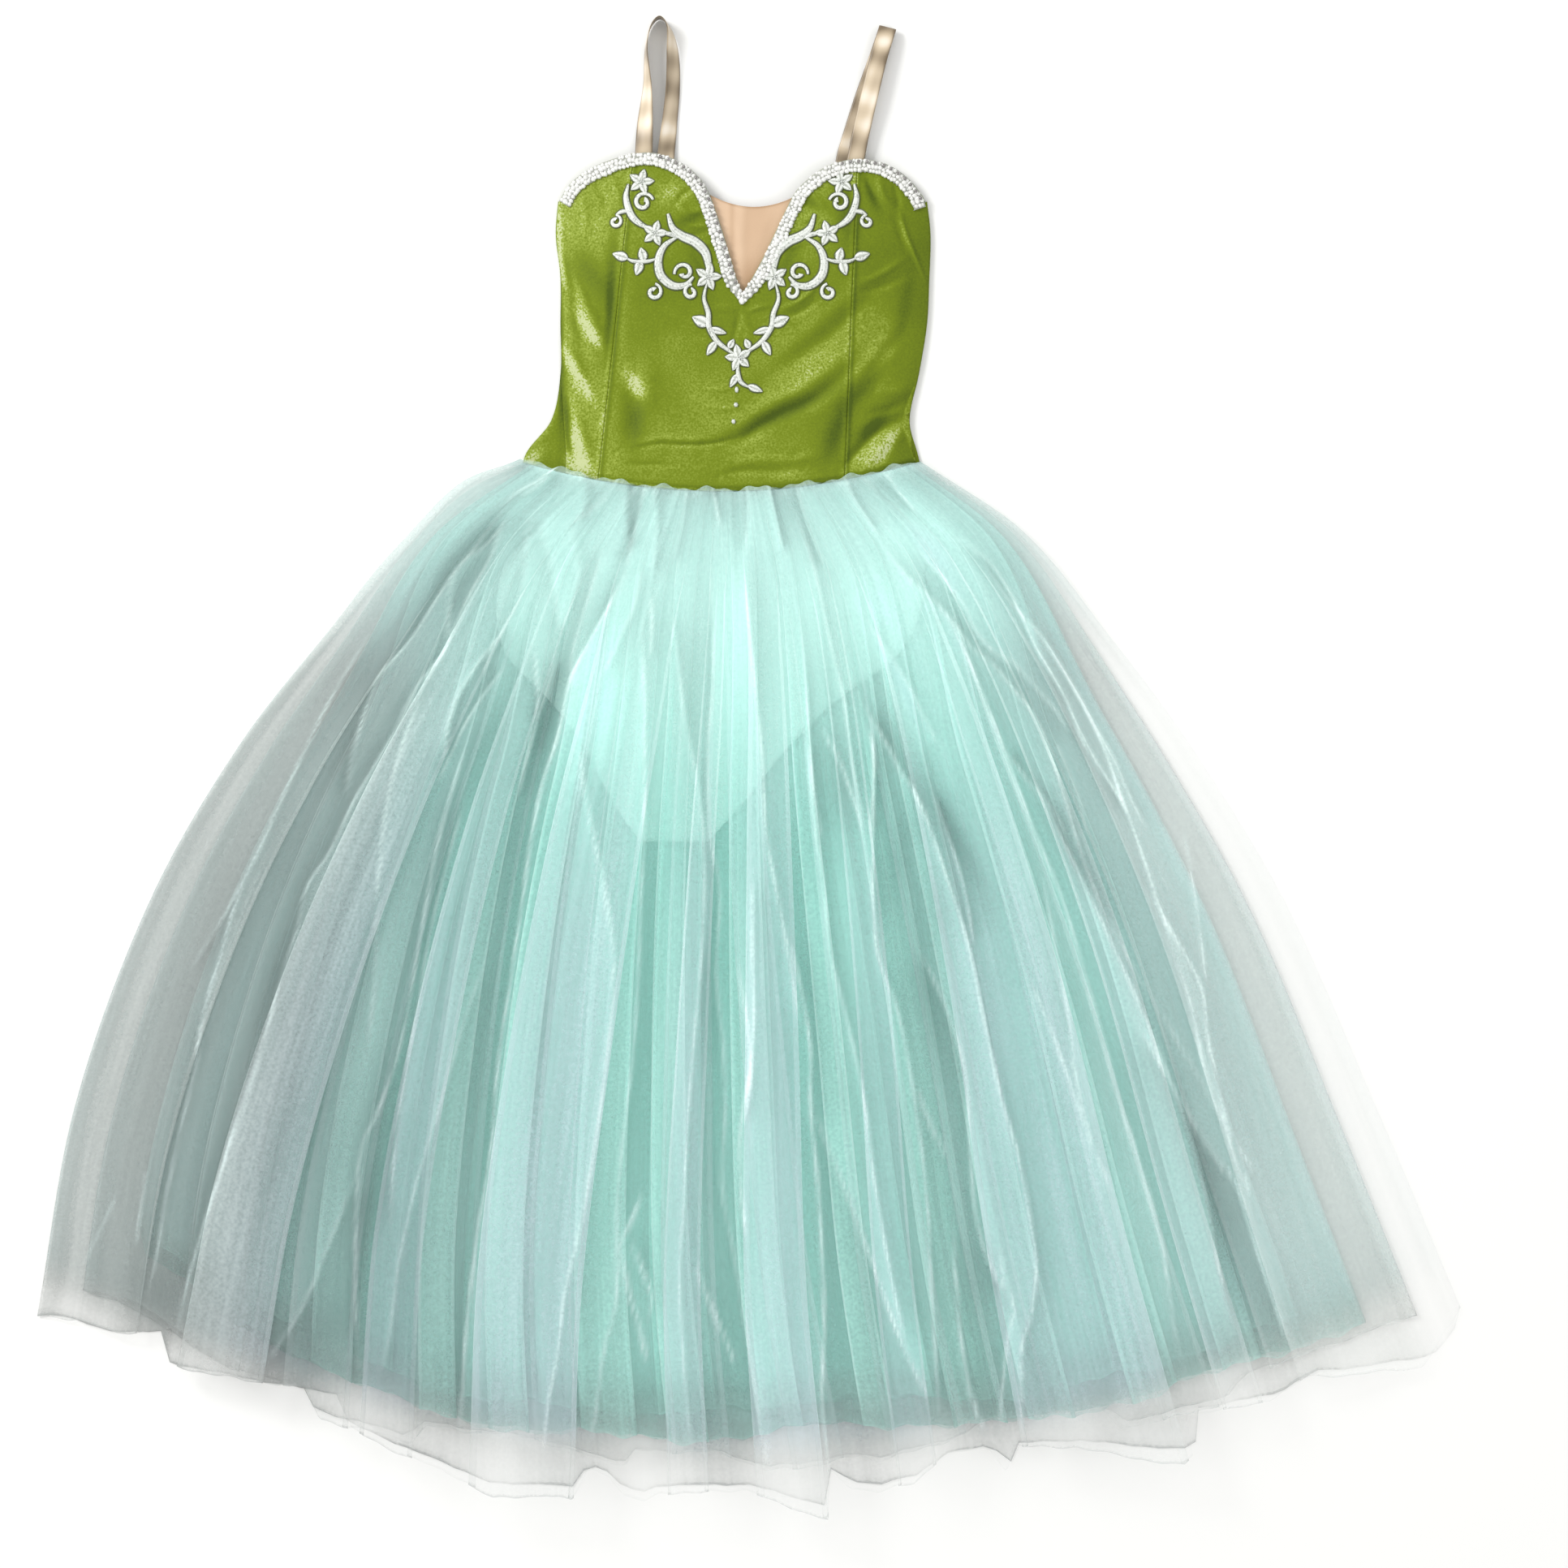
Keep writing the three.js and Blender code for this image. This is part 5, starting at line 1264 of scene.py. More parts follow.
# The velvet's creases: height, width, and x and y of each point in turn.
CREASES = (
    (-2, 5, -150, 186, -141, 170, -134, 153, -124, 136), (1.8, 5.5, -144, 190, -134, 168, -125, 148, -114, 128),
    (1.5, 5, -149, 128, -137, 106, -125, 85), (-1.2, 5, -151, 118, -143, 96, -134, 76),
    (-2.2, 5.5, -149, 80, -144, 56, -139, 34, -131, 14), (2, 7, -139, 68, -133, 46, -126, 22),
    (-1.6, 8, -107, 186, -105, 160, -106, 130, -108, 104), (-1.7, 8.5, -89, 104, -87, 80, -88, 56, -92, 36),
    (0.9, 9, -75, 110, -74, 84, -76, 58), (-2.4, 6, -24, 35, 6, 41, 24, 53, 46, 65, 70, 76, 100, 98),
    (1.8, 8.5, -6, 50, 14, 58, 34, 70, 58, 83, 88, 104, 112, 128),
    (-1.2, 7.5, 26, 92, 52, 108, 78, 126, 102, 148, 128, 170), (1, 8.5, 40, 116, 66, 134, 90, 154, 112, 176),
    (1.4, 8, 60, 60, 88, 76, 112, 98, 134, 124), (-1.3, 6, 110, 92, 128, 112, 146, 134),
    (1.2, 1.9, 142, 238, 148, 217, 156, 198, 165, 176), (-0.7, 3, 136, 236, 143, 214, 151, 194),
    (-1.2, 1.9, -86, 32, -65, 36, -45, 35, -20, 36, 2, 41), (0.8, 3.4, -84, 36, -60, 40, -36, 39, -12, 41),
    (-0.8, 2.2, -96, 19, -74, 18, -50, 17), (-1.3, 3.6, -12, 9, 10, 13, 30, 12, 58, 12),
    (1, 4, -4, 21, 24, 22, 52, 22, 76, 26), (-2, 4.6, 140, 58, 121, 44, 104, 27, 93, 12),
    (2, 6, 146, 48, 130, 36, 116, 20, 110, 8), (-1.4, 4.2, 148, 72, 132, 66, 116, 62),
    (1.1, 5.2, 152, 84, 136, 80, 120, 84), (0.9, 3.2, 108, 174, 126, 181, 148, 196),
    (-0.8, 3.6, 104, 166, 124, 170, 150, 182), (0.9, 2.4, 36, 150, 52, 156, 66, 166, 76, 178),
    (-0.9, 3, 40, 144, 58, 150, 74, 162), (0.9, 2.2, -20, 224, -34, 222, -48, 226),
    (-0.8, 2.6, -22, 218, -38, 214, -50, 218), (0.9, 2.4, -26, 238, -36, 234, -46, 240, -52, 250),
    (0.9, 2.2, -18, 208, -32, 206, -44, 208), (-0.8, 2.8, -36, 256, -46, 248, -52, 238),
    (0.8, 2.4, 48, 232, 58, 228, 70, 230), (-0.8, 2.8, 40, 218, 52, 214, 64, 216),
    (0.8, 2.4, 34, 204, 46, 204, 60, 208), (0.8, 2.6, 62, 256, 72, 246, 80, 236),
    (-1.1, 3, 112, 268, 118, 254, 126, 240), (0.9, 3, 124, 266, 128, 252, 136, 240),
    (0.8, 2.8, 98, 268, 104, 256, 108, 242), (-0.8, 2.8, 136, 262, 140, 248, 142, 236),
    (-0.7, 3.6, -120, 262, -112, 248, -110, 232), (0.7, 3.4, -106, 268, -100, 252, -98, 238),
    (0.7, 3.6, -134, 250, -128, 236, -128, 218), (0.7, 1.9, -18, 153, -8, 152, 2, 150),
    (0.7, 1.9, 12, 150, 22, 153, 32, 154), (-0.5, 3, 4, 150, 2, 136, -2, 122), (0.4, 3, 8, 149, 12, 134, 14, 120),
    (0.7, 3.4, -56, 150, -38, 140, -20, 134), (-0.6, 3.6, -60, 142, -40, 131, -24, 126),
    (0.5, 1.8, -24, 68, -10, 66, 4, 67), (0.4, 2.2, -30, 84, -14, 82, 0, 84),
)


def waist_line(x: Array) -> Array:
    """Return the waist seam's y: the fan's first row, a parabola, and the seam's gap."""
    u = np.clip((x - FAN[0, 2]) / FAN[0, 1], -1, 1)
    return FAN[0, 4] + (FAN[0, 3] - FAN[0, 4]) * u * u + WAIST_GAP


def front_face(x: Array, y: Array) -> Array:
    """Return the height of the velvet front's face: a flat arch from side to side with two low cups."""
    left, right = track(BODICE, y, 1), track(BODICE, y, 2)
    across = np.clip((2 * x - left - right) / (right - left), -1, 1)
    cups = sum(rise * np.exp(-((x - cx) ** 2 + (y - cy) ** 2) / (2 * spread**2)) for cx, cy, rise, spread in CUPS)
    side = 2 * VELVET + SEAM
    return side + (track(BODICE, y, 5) - side + cups) * (1 - across**6)


def creased_face(x: Array, y: Array) -> Array:
    """Return the velvet front's face with its creases."""
    return front_face(x, y) + sum(crease(x, y, *row) for row in CREASES)


@dataclass
class Bodice:
    """The velvet bodice: three front panels with raised seams between them, and a back.

    The foot of the back depends on its own width, so it is worked out settling times.
    """

    material: Material
    settling: int = 3
    rows: int = 170
    back_grid: tuple[int, int] = (90, 110)

    def neck(self, at: Array) -> Array:
        """Return points of the neckline at places from 0 to 25, with a sharp corner at the V."""
        left = through(NECKLINE[: V_POINT + 1], np.clip(at, 0, V_POINT))
        right = through(NECKLINE[V_POINT:], np.clip(at - V_POINT, 0, len(NECKLINE) - 1 - V_POINT))
        return np.where((at <= V_POINT)[:, None], left, right)

    def sheet(self, first: float, last: float, columns: int, inset: tuple[float, float]) -> tuple[Array, Array]:
        """Lay out a front panel: columns run from the waist line up to the neckline's points.

        Args:
            first: the neckline place of its left edge.
            last: the neckline place of its right edge.
            columns: points across.
            inset: how far its left and right edge keep back.
        Returns:
            x and y grids, rows from the neckline down to the waist.
        """
        at = np.linspace(first, last, columns)
        neck = self.neck(at)
        stops = [0, LEFT_SEAM_COLUMN, RIGHT_SEAM_COLUMN, len(NECKLINE) - 1]
        feet = [track(BODICE, 0.0, 1), *SEAM_FEET, track(BODICE, 0.0, 2)]
        foot = np.interp(neck[:, 0], NECKLINE[stops, 0], feet)
        share = np.linspace(1, 0, self.rows)[:, None]
        y = lerp(waist_line(foot), neck[:, 1], share)
        x = lerp(foot, neck[:, 0], share)
        end = len(NECKLINE) - 1
        for on_side, edge, column, place_at in ((first == 0, 0, 1, at), (last == end, -1, 2, end - at)):
            if on_side:
                bulge = track(BODICE, np.minimum(y[:, edge], NECKLINE[edge, 1]), column) - x[:, edge]
                x = x + bulge[:, None] * np.clip(1 - place_at / 3.0, 0, 1) ** 2
        x[:, 0] += inset[0]
        x[:, -1] -= inset[1]
        return x, y

    def from_seams(self, x: Array, y: Array) -> list[tuple[float, Array]]:
        """Return the foot of each of the two seams, and how far to its right each place lies."""
        seams = []
        for foot, column in zip(SEAM_FEET, (LEFT_SEAM_COLUMN, RIGHT_SEAM_COLUMN)):
            top, low = NECKLINE[column], waist_line(np.array(foot))
            seams.append((foot, x - lerp(foot, top[0], np.clip((y - low) / (top[1] - low), 0, 1))))
        return seams

    def seam_dip(self, x: Array, y: Array) -> Array:
        """Return the relief of the two seams: a stitched groove with a soft welt on each side of it."""
        total = np.zeros_like(x)
        for foot, far in self.from_seams(x, y):
            pucker = 0.1 * np.sin(y * 1.15 + foot) * np.exp(-((far / 5) ** 2))
            total += 0.35 * np.exp(-(((np.abs(far) - 1.8) / 1.5) ** 2)) - 0.15 * np.exp(-((far / 0.8) ** 2)) + pucker
        return total

    def seam_painted_light(self, x: Array, y: Array) -> Array:
        """Return painted light at the seams: a painted highlight left of each seam, painted shade right of it, and a
        painted highlight along the waist.
        """
        total = np.zeros_like(x)
        for _, far in self.from_seams(x, y):
            total += 0.3 * np.exp(-(((far + 0.9) / 0.9) ** 2)) - 0.3 * np.exp(-(((far - 1.6) / 1.4) ** 2))
        return total + 0.3 * np.exp(-(((y - waist_line(x) - 1.0) / 1.2) ** 2)) * (1 - smooth(x, -60, 20))

    def front(self) -> list[Piece]:
        end = len(NECKLINE) - 1
        panels = (
            ("bodice_front_centre", LEFT_SEAM_COLUMN, RIGHT_SEAM_COLUMN, 200, (0.04, 0.04), (0.225, 0.295), 0.050),
            ("bodice_front_left", 0, LEFT_SEAM_COLUMN, 66, (0, 0.04), (0.07, 0.285), 0.0118),
            ("bodice_front_right", RIGHT_SEAM_COLUMN, end, 72, (0.04, 0), (0.08, 0.28), 0.0155),
        )
        pieces = []
        for name, first, last, columns, inset, flat, area in panels:
            x, y = self.sheet(first, last, columns, inset)
            z = creased_face(x, y) + self.seam_dip(x, y) - 1.6 * (1 - smooth(y - waist_line(x), 0, 5))
            pieces.append(self.panel(name, x, y, z))
        return pieces

    def panel(self, name: str, x: Array, y: Array, z: Array) -> Piece:
        """Close a panel into a wall with rolled edges and give it its painted shade and highlights.

        Args:
            name: the node that it stands for.
            x: places across.
            y: places along.
            z: heights of its face.
        Returns:
            The piece.
        """
        edge = np.zeros_like(x)
        edge[[0, -1], :] = 1
        edge[:, [0, -1]] = 1
        upper = np.stack([x, y, z - 0.12 * edge], -1)
        lower = np.stack([x, y, z - VELVET + 0.4 * edge], -1)
        normals = grid_normals(upper)
        # Painted light: faces tilted towards the upper left are painted paler and those tilted away darker.
        lean = -0.9 * normals[..., 0] + 0.5 * normals[..., 1]
        nap = 0.4 + 0.75 * lean * np.exp(-((lean / 0.9) ** 2)) + ellipses(VELVET_PAINTED_LIGHT, x, y) + self.seam_painted_light(x, y)
        piece = new_wall(f"{name}_velvet", upper, lower, self.material, np.stack([x, y], -1), nap=nap)
        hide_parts(name)
        return piece

    def back(self) -> Piece:
        """Make the back panel, a flat wall that flares out beside the front at the waist."""
        rows, columns = self.back_grid
        across = np.linspace(-1, 1, columns)[None, :]
        share = np.linspace(1, 0, rows)[:, None]
        top = BACK_NECK[0] + BACK_NECK[1] * across**2
        half = (across + 1) / 2
        foot = lerp(track(BODICE, 0.0, 3), track(BODICE, 0.0, 4), half)
        y = lerp(waist_line(foot), top, share)
        for _ in range(self.settling):
            foot = lerp(track(BODICE, y[-1:], 3), track(BODICE, y[-1:], 4), half)
            y = lerp(waist_line(foot), top, share)
        x = lerp(track(BODICE, y, 3), track(BODICE, y, 4), half)
        flare = crease(x, y, 0.5, 6.0, -152, 66, -160, 48, -168, 30)
        z = VELVET - 0.05 + 0.9 * flare * smooth(-x, 146, 152)
        return self.panel("bodice_back", x, y, z)


@dataclass
class NeckInsert:
    """The net insert behind the V, with one soft fold down its middle."""

    material: Material
    sides: tuple[float, float] = (-21, 57)
    rows: int = 60
    columns: int = 70
    folds: tuple[tuple[float, ...], ...] = (
        (0.9, 4.0, -4, 246, 2, 222, 6, 196, 7, 172), (-0.9, 5.0, 14, 244, 12, 220, 9, 196),
        (0.7, 4.5, 34, 246, 26, 222, 16, 196),
    )

    def build(self) -> Piece:
        x = np.linspace(*self.sides, self.columns)[None, :]
        top = 240 + 11 * ((x - 17) / 39) ** 2
        foot = np.minimum(np.interp(x, *NECKLINE.T) - 13, top - 8)
        y = lerp(top, foot, np.linspace(0, 1, self.rows)[:, None])
        x = x + 0 * y
        folds = sum(crease(x, y, *row) for row in self.folds)
        z = front_face(x, y) - VELVET - 0.5 + folds * smooth(y, 150, 190) * 0.5
        roll = np.exp(-(((y - top) / 2.2) ** 2))
        upper = np.stack([x, y, z + 0.3 * roll], -1)
        lower = np.stack([x, y, z - 1.0], -1)
        # Painted shade: darker right of the middle fold, low in the V, along a line beside the fold and along the
        # rolled top edge.
        deep = 0.3 * smooth(x, 4, 12) * (1 - 0.6 * smooth(x, 24, 40)) + 0.35 * (1 - smooth(y, 168, 205))
        deep += 0.3 * np.exp(-(((x + 2) / 2.5) ** 2)) + 0.5 * np.exp(-(((y - top + 0.5) / 1.0) ** 2))
        piece = new_wall("neck_insert_net", upper, lower, self.material, deep=np.clip(deep, 0, 0.8))
        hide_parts("neck_insert")
        return piece


# ---- Braid, applique and beads ----


def ray(x: float, y: float, reach: Array, angle: Array) -> Array:
    """Return the points that lie so far from x, y in the direction of the angle, in radians."""
    return np.stack([x + reach * np.cos(angle), y + reach * np.sin(angle)], -1)


def new_beads(name: str, at: Array, size: Array, material: Material) -> Piece:
    """Make small beads, each an icosahedron of 20 faces, as one piece.

    Args:
        name: the piece's name.
        at: rows of x, y, z.
        size: each bead's radii, along x, y and z.
        material: their finish.
    Returns:
        The piece.
    """
    g = (1 + 5**0.5) / 2
    edge = [(-1, g, 0), (1, g, 0), (-1, -g, 0), (1, -g, 0)]
    corners = np.concatenate([np.roll(edge, n, axis=1) for n in range(3)]) / (1 + g * g) ** 0.5
    faces = np.array([(0, 11, 5), (0, 5, 1), (0, 1, 7), (0, 7, 10), (0, 10, 11), (1, 5, 9), (5, 11, 4),
                      (11, 10, 2), (10, 7, 6), (7, 1, 8), (3, 9, 4), (3, 4, 2), (3, 2, 6), (3, 6, 8), (3, 8, 9),
                      (4, 9, 5), (2, 4, 11), (6, 2, 10), (8, 6, 7), (9, 8, 1)])
    points = at[:, None, :] + corners * size[:, None, :]
    numbers = faces + (np.arange(len(at)) * len(corners))[:, None, None]
    piece = new_piece(name, points.reshape(-1, 3), numbers.reshape(-1, 3), material)
    return piece


@dataclass
class NeckBraid:
    """The white braid along the neckline: a scalloped band set with clusters of small beads.

    Each row of beads has its distance from the edge, its number of beads and their smallest and largest radius.
    One larger bead sits at v_bead, in the V.
    """

    bodice: Bodice
    band: Material
    beads: Material
    stones: Material
    width: float = 10.8
    steps: int = 520
    rows: tuple[tuple[float, int, float, float], ...] = (
        (2.2, 150, 1.7, 2.3), (5.8, 128, 1.9, 2.9), (9.4, 140, 1.7, 2.5), (3.9, 120, 0.9, 1.4),
        (7.6, 120, 0.9, 1.4),
    )
    v_bead: tuple[float, float] = (6.5, 158.5)

    def line(self) -> tuple[Array, Array]:
        """Return even points along the neckline and the inward direction at each."""
        fine = self.bodice.neck(np.linspace(0, len(NECKLINE) - 1, 1200))
        run = run_along(fine)
        even = np.linspace(0, run[-1], self.steps)
        points = np.stack([np.interp(even, run, fine[:, n]) for n in (0, 1)], -1)
        along = directions(points)
        return points, np.stack([along[:, 1], -along[:, 0]], -1)

    def build(self) -> list[Piece]:
        """Make the band, its beads and its darker stones."""
        points, inward = self.line()
        near = np.exp(-((np.linalg.norm(points - NECKLINE[V_POINT], axis=1) / 9) ** 2))[:, None]
        inward = inward * (1 - near) + np.array([0, -1.0]) * near
        run = np.arange(self.steps)
        scallop = 0.55 * np.sin(run * 1.6) + 0.35 * np.sin(run * 2.7 + 1)
        across = np.linspace(0, 1, 9)[None, :]
        reach = 0.2 + across * (self.width + scallop[:, None])
        plan = points[:, None, :] + inward[:, None, :] * reach[..., None]
        face = creased_face(plan[..., 0], plan[..., 1]) + SEAM
        lumps = 0.35 * np.sin(run[:, None] * 1.3 + across * 9) * np.sin(across * math.pi)
        dome = 0.45 + 1.0 * np.sin(across * math.pi) ** 0.5 + lumps
        upper = np.concatenate([plan, (face + dome)[..., None]], -1)
        lower = np.concatenate([plan, face[..., None]], -1)
        uv = np.stack([run[::-1, None] * 1.1 + 0 * across, across * 12 + 0 * run[:, None]], -1)
        band = new_wall("neck_braid_band", upper[::-1], lower[::-1], self.band, uv)
        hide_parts("neck_braid")
        return [band, self.bead_rows(points, inward), self.stone_row(points, inward)]

    def bead_rows(self, points: Array, inward: Array) -> Piece:
        """Make three crowded, uneven rows of round beads on the band, and smaller ones between them."""
        rng = np.random.default_rng(7)
        at, size = [], []
        for row, count, small, large in self.rows:
            i = np.linspace(2, len(points) - 3, count).astype(int)
            out = row + rng.uniform(-0.7, 0.7, count)
            plan = points[i] + inward[i] * out[:, None] + rng.uniform(-0.5, 0.5, (count, 2))
            radius = rng.uniform(small, large, count)
            z = creased_face(plan[:, 0], plan[:, 1]) + SEAM + 1.0 + rng.uniform(0, 0.4, count)
            at.append(np.column_stack([plan, z]))
            size.append(np.column_stack([radius, radius, radius * 0.7]))
        x, y = self.v_bead
        at.append(np.array([(x, y, float(creased_face(np.array(x), np.array(y))) + 1.6)]))
        size.append(np.array([(3.2, 3.2, 1.8)]))
        return new_beads("braid_beads", np.concatenate(at), np.concatenate(size), self.beads)

    def stone_row(self, points: Array, inward: Array) -> Piece:
        """Make the spaced dark stones near the edge, on the left cup's inner half and the right cup's outer."""
        place_at = np.linspace(0, 1, len(points))
        i = np.arange(6, len(points) - 6, 8)
        i = i[((place_at[i] > 0.2) & (place_at[i] < 0.5)) | (place_at[i] > 0.8)]
        plan = points[i] + inward[i] * 2.4
        z = creased_face(plan[:, 0], plan[:, 1]) + SEAM + 3.0
        return new_beads("braid_stones", np.column_stack([plan, z]), np.tile([1.7, 1.7, 0.9], (len(i), 1)),
                         self.stones)


class Motif(Enum):
    """What a part of the applique is."""

    BAND = "band"
    CURL = "curl"
    LEAF = "leaf"
    FLOWER = "flower"


# One half of the scroll. A band has its points, widest width and end share; a curl its centre, radius, start,
# turns and width; a leaf its foot, length, width and direction; a flower its centre and radius.
HALF_SCROLL = (
    (Motif.FLOWER, 86, 106, 10.5),
    (Motif.BAND, ((97, 104), (99, 92), (95, 78), (88, 70), (77, 64)), 4.6, 0.45),
    (Motif.CURL, 84, 88, 8.6, 165, -1.15, 3.2),
    (Motif.BAND, ((95, 80), (102, 80), (108, 77)), 2.8, 0.45),
    (Motif.CURL, 108, 71.5, 5.6, 95, 1.05, 2.8),
    (Motif.FLOWER, 74, 61, 10.5),
    (Motif.BAND, ((70, 62), (60, 60), (54, 57)), 3, 0.45),
    (Motif.BAND, ((63, 78), (59, 66), (51, 59), (40, 54), (31, 45), (28, 33), (28.5, 26)), 6.4, 0.4),
    (Motif.FLOWER, 28.5, 24, 11),
    (Motif.BAND, ((55, 58), (66, 50), (71, 38), (69, 25), (59, 16.5), (48, 17), (41, 24)), 5.6, 0.45),
    (Motif.CURL, 49, 27.5, 8.4, -10, 0.95, 3),
    (Motif.BAND, ((70, 40), (80, 37), (92, 37), (99, 40)), 2.6, 0.45),
    (Motif.LEAF, 97, 39.5, 14, 8, 18),
    (Motif.LEAF, 83, 37, 12, 8, 75),
    (Motif.LEAF, 86, 37.5, 13, 8, -72),
    (Motif.CURL, 75, 11, 7, 100, 1.05, 3),
    (Motif.CURL, 43, 11, 6.4, 95, -1.0, 3),
    (Motif.BAND, ((29, 20), (32, 6), (28, -7), (27, -18), (20, -30), (10, -38), (2, -43)), 3.6, 0.45),
    (Motif.LEAF, 27, -17, 16, 10, 25),
    (Motif.LEAF, 26, -20, 15, 6, 196),
    (Motif.LEAF, 20, -31, 14, 7, -58),
    (Motif.LEAF, 9, -37, 9, 6, 118),
)
MIDDLE_SCROLL = (
    (Motif.FLOWER, 0, -45, 11),
    (Motif.BAND, ((0, -50), (0, -58), (3, -66), (11, -71)), 3, 0.45),
    (Motif.LEAF, 9, -69, 14, 6, -22),
    (Motif.LEAF, 0, -59, 13, 6, -118),
)

# Painted shade across each motif, from side to side: the dark rim stands for its shadow on the velvet and a dark
# edge of thread, the darker grooves and veins for shade in them.
SHADES = {
    Motif.BAND: (1, 1, 0, 0.3, 0, 0.3, 0, 1, 1), Motif.CURL: (1, 1, 0, 0, 0.2, 0, 0, 1, 1),
    Motif.LEAF: (1, 1, 0, 0, 0.55, 0, 0, 1, 1), Motif.FLOWER: (1, 1, 0, 0, 0.55, 0, 0, 1, 1),
}


@dataclass
class Applique:
    """The raised silver-white scroll around the V, sewn to the velvet.

    A drop is a crystal below it: its x and y, then its radii along x, y and z.
    """

    thread: Material
    crystals: Material
    shadow_rim: float = 0.9
    petals: int = 5
    ring: float = 1.9
    drops: tuple[tuple[float, ...], ...] = (
        (2.0, 82.5, 1.9, 3.0, 1.2), (1.4, 69.5, 2.2, 2.3, 1.2), (-0.7, 55.0, 2.1, 2.3, 1.2),
    )

    def band(self, path: Array, width: Array, rise: float, vein: float = 1.0) -> tuple[Array, Array]:
        """Lay a domed band along a path: half circles across, as wide as stated at each point.

        Args:
            path: rows of x, y.
            width: the width at each point.
            rise: the dome's height.
            vein: the share of that height along its middle.
        Returns:
            A grid of x, y, height, and its cloth coordinates.
        """
        along = directions(path)
        side = np.stack([-along[:, 1], along[:, 0]], -1)
        turn = np.array([-1.0, -1.0, -0.8, -0.4, 0.0, 0.4, 0.8, 1.0, 1.0])[None, :]
        # The flange is a low rim round each motif, coloured dark as its painted shadow on the velvet.
        flange = np.array([-1.0, 0, 0, 0, 0, 0, 0, 0, 1.0])[None, :] * self.shadow_rim
        plan = path[:, None, :] + side[:, None, :] * (turn * width[:, None] / 2 + flange)[..., None]
        high = rise * np.sqrt(np.clip(1 - turn**2, 0, 1)) * (width[:, None] / width.max()) ** 0.5
        high = high - 0.3 * np.abs(flange) / self.shadow_rim
        high[:, 4] *= vein
        uv = np.stack([run_along(path)[:, None] + 0 * turn, turn * width[:, None] / 2], -1)
        return np.concatenate([plan, high[..., None]], -1), uv

    def shapes(self, kind: Motif, *sizes: float) -> list[tuple[Array, Array]]:
        """Work out one motif as grids of x, y and height.

        Args:
            kind: which motif it is.
            sizes: its sizes, as the table gives them.
        Returns:
            Grids, each with its cloth coordinates.
        """
        if kind is Motif.BAND:
            points, widest, ends = sizes
            t = np.linspace(0, 1, 10 * (len(points) - 1) + 1)
            path = through(np.array(points, dtype=float), t * (len(points) - 1))
            return [self.band(path, 1.3 * widest * lerp(0.6 * ends, 1, np.sin(math.pi * t)), 1.6)]
        if kind is Motif.CURL:
            x, y, radius, start, turns, width = sizes
            t = np.linspace(0, 1, 40)
            path = ray(x, y, radius * (1 - 0.72 * t), math.radians(start) + 2 * math.pi * turns * t)
            ball = 0.9 * np.exp(-(((t - 1) / 0.1) ** 2))
            return [self.band(path, width * (lerp(0.7, 1.15, np.sin(math.pi * t)) + ball), 1.5)]
        if kind is Motif.LEAF:
            x, y, length, width, direction = sizes
            t = np.linspace(0, 1, 13)
            wide = width * (0.08 + 0.92 * np.sin(math.pi * t**0.8) ** 0.9)
            return [self.band(ray(x, y, t * length, math.radians(direction)), wide, 1.4, 0.45)]
        x, y, radius = sizes
        t = np.linspace(0, 1, 10)
        wide = radius * 0.62 * (0.5 * (1 - t) + 0.75 * np.sin(math.pi * t**1.1) ** 1.1 + 0.02)
        turns = 2 * math.pi * np.arange(self.petals) / self.petals + math.pi / 2 + 0.25
        return [self.band(ray(x, y, t * (1.1 * radius), turn), wide, 1.6, 0.6) for turn in turns]

    def build(self) -> list[Piece]:
        """Make the whole scroll as one piece of domed motifs, then its beads and the crystals under it."""
        points, faces, uvs, edges, centres, count = [], [], [], [], [], 0
        for table, sides in ((HALF_SCROLL, (1, -1)), (MIDDLE_SCROLL, (1,))):
            for kind, *sizes in table:
                for side in sides:
                    for grid, uv in self.shapes(kind, *sizes):
                        x = SCROLL_AT[0] + side * grid[..., 0] + 0.05 * np.minimum(grid[..., 1], 0)
                        y = SCROLL_AT[1] + grid[..., 1]
                        face = creased_face(x, y) + SEAM
                        upper = np.stack([x, y, face + 0.4 + grid[..., 2]], -1)
                        lower = np.stack([x, y, face], -1)
                        if side < 0:
                            upper, lower = upper[::-1], lower[::-1]
                        made, quads = shell(upper[:, ::-1], lower[:, ::-1])
                        points.append(made)
                        faces.append(quads + count)
                        uvs.append(np.tile(uv.reshape(-1, 2), (2, 1)))
                        edges.append(np.tile(SHADES[kind], 2 * len(grid)))
                        count += len(made)
                    if kind is Motif.FLOWER:
                        centres.append((SCROLL_AT[0] + side * sizes[0], SCROLL_AT[1] + sizes[1]))
        piece = new_piece("scroll_embroidery", np.concatenate(points), np.concatenate(faces), self.thread,
                          np.concatenate(uvs) * MM, {"edge": np.concatenate(edges)})
        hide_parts("scroll_applique")
        return [piece, self.beads(np.array(centres))]

    def beads(self, centres: Array) -> Piece:
        """Make the seed beads in the flowers' hearts and the three crystals below the applique."""
        ring = np.concatenate([[(0, 0)], ray(0, 0, self.ring, np.arange(self.petals) * 1.2566)])
        at = (centres[:, None, :] + ring[None, :, :]).reshape(-1, 2)
        z = creased_face(at[:, 0], at[:, 1]) + SEAM + 2.3
        size = np.tile([0.85, 0.85, 0.7], (len(at), 1))
        drops = np.array(self.drops)
        drop_z = creased_face(drops[:, 0], drops[:, 1]) + 0.9
        at = np.concatenate([np.column_stack([at, z]), np.column_stack([drops[:, :2], drop_z])])
        size = np.concatenate([size, drops[:, 2:]])
        return new_beads("applique_beads", at, size, self.crystals)


# ---- Straps ----


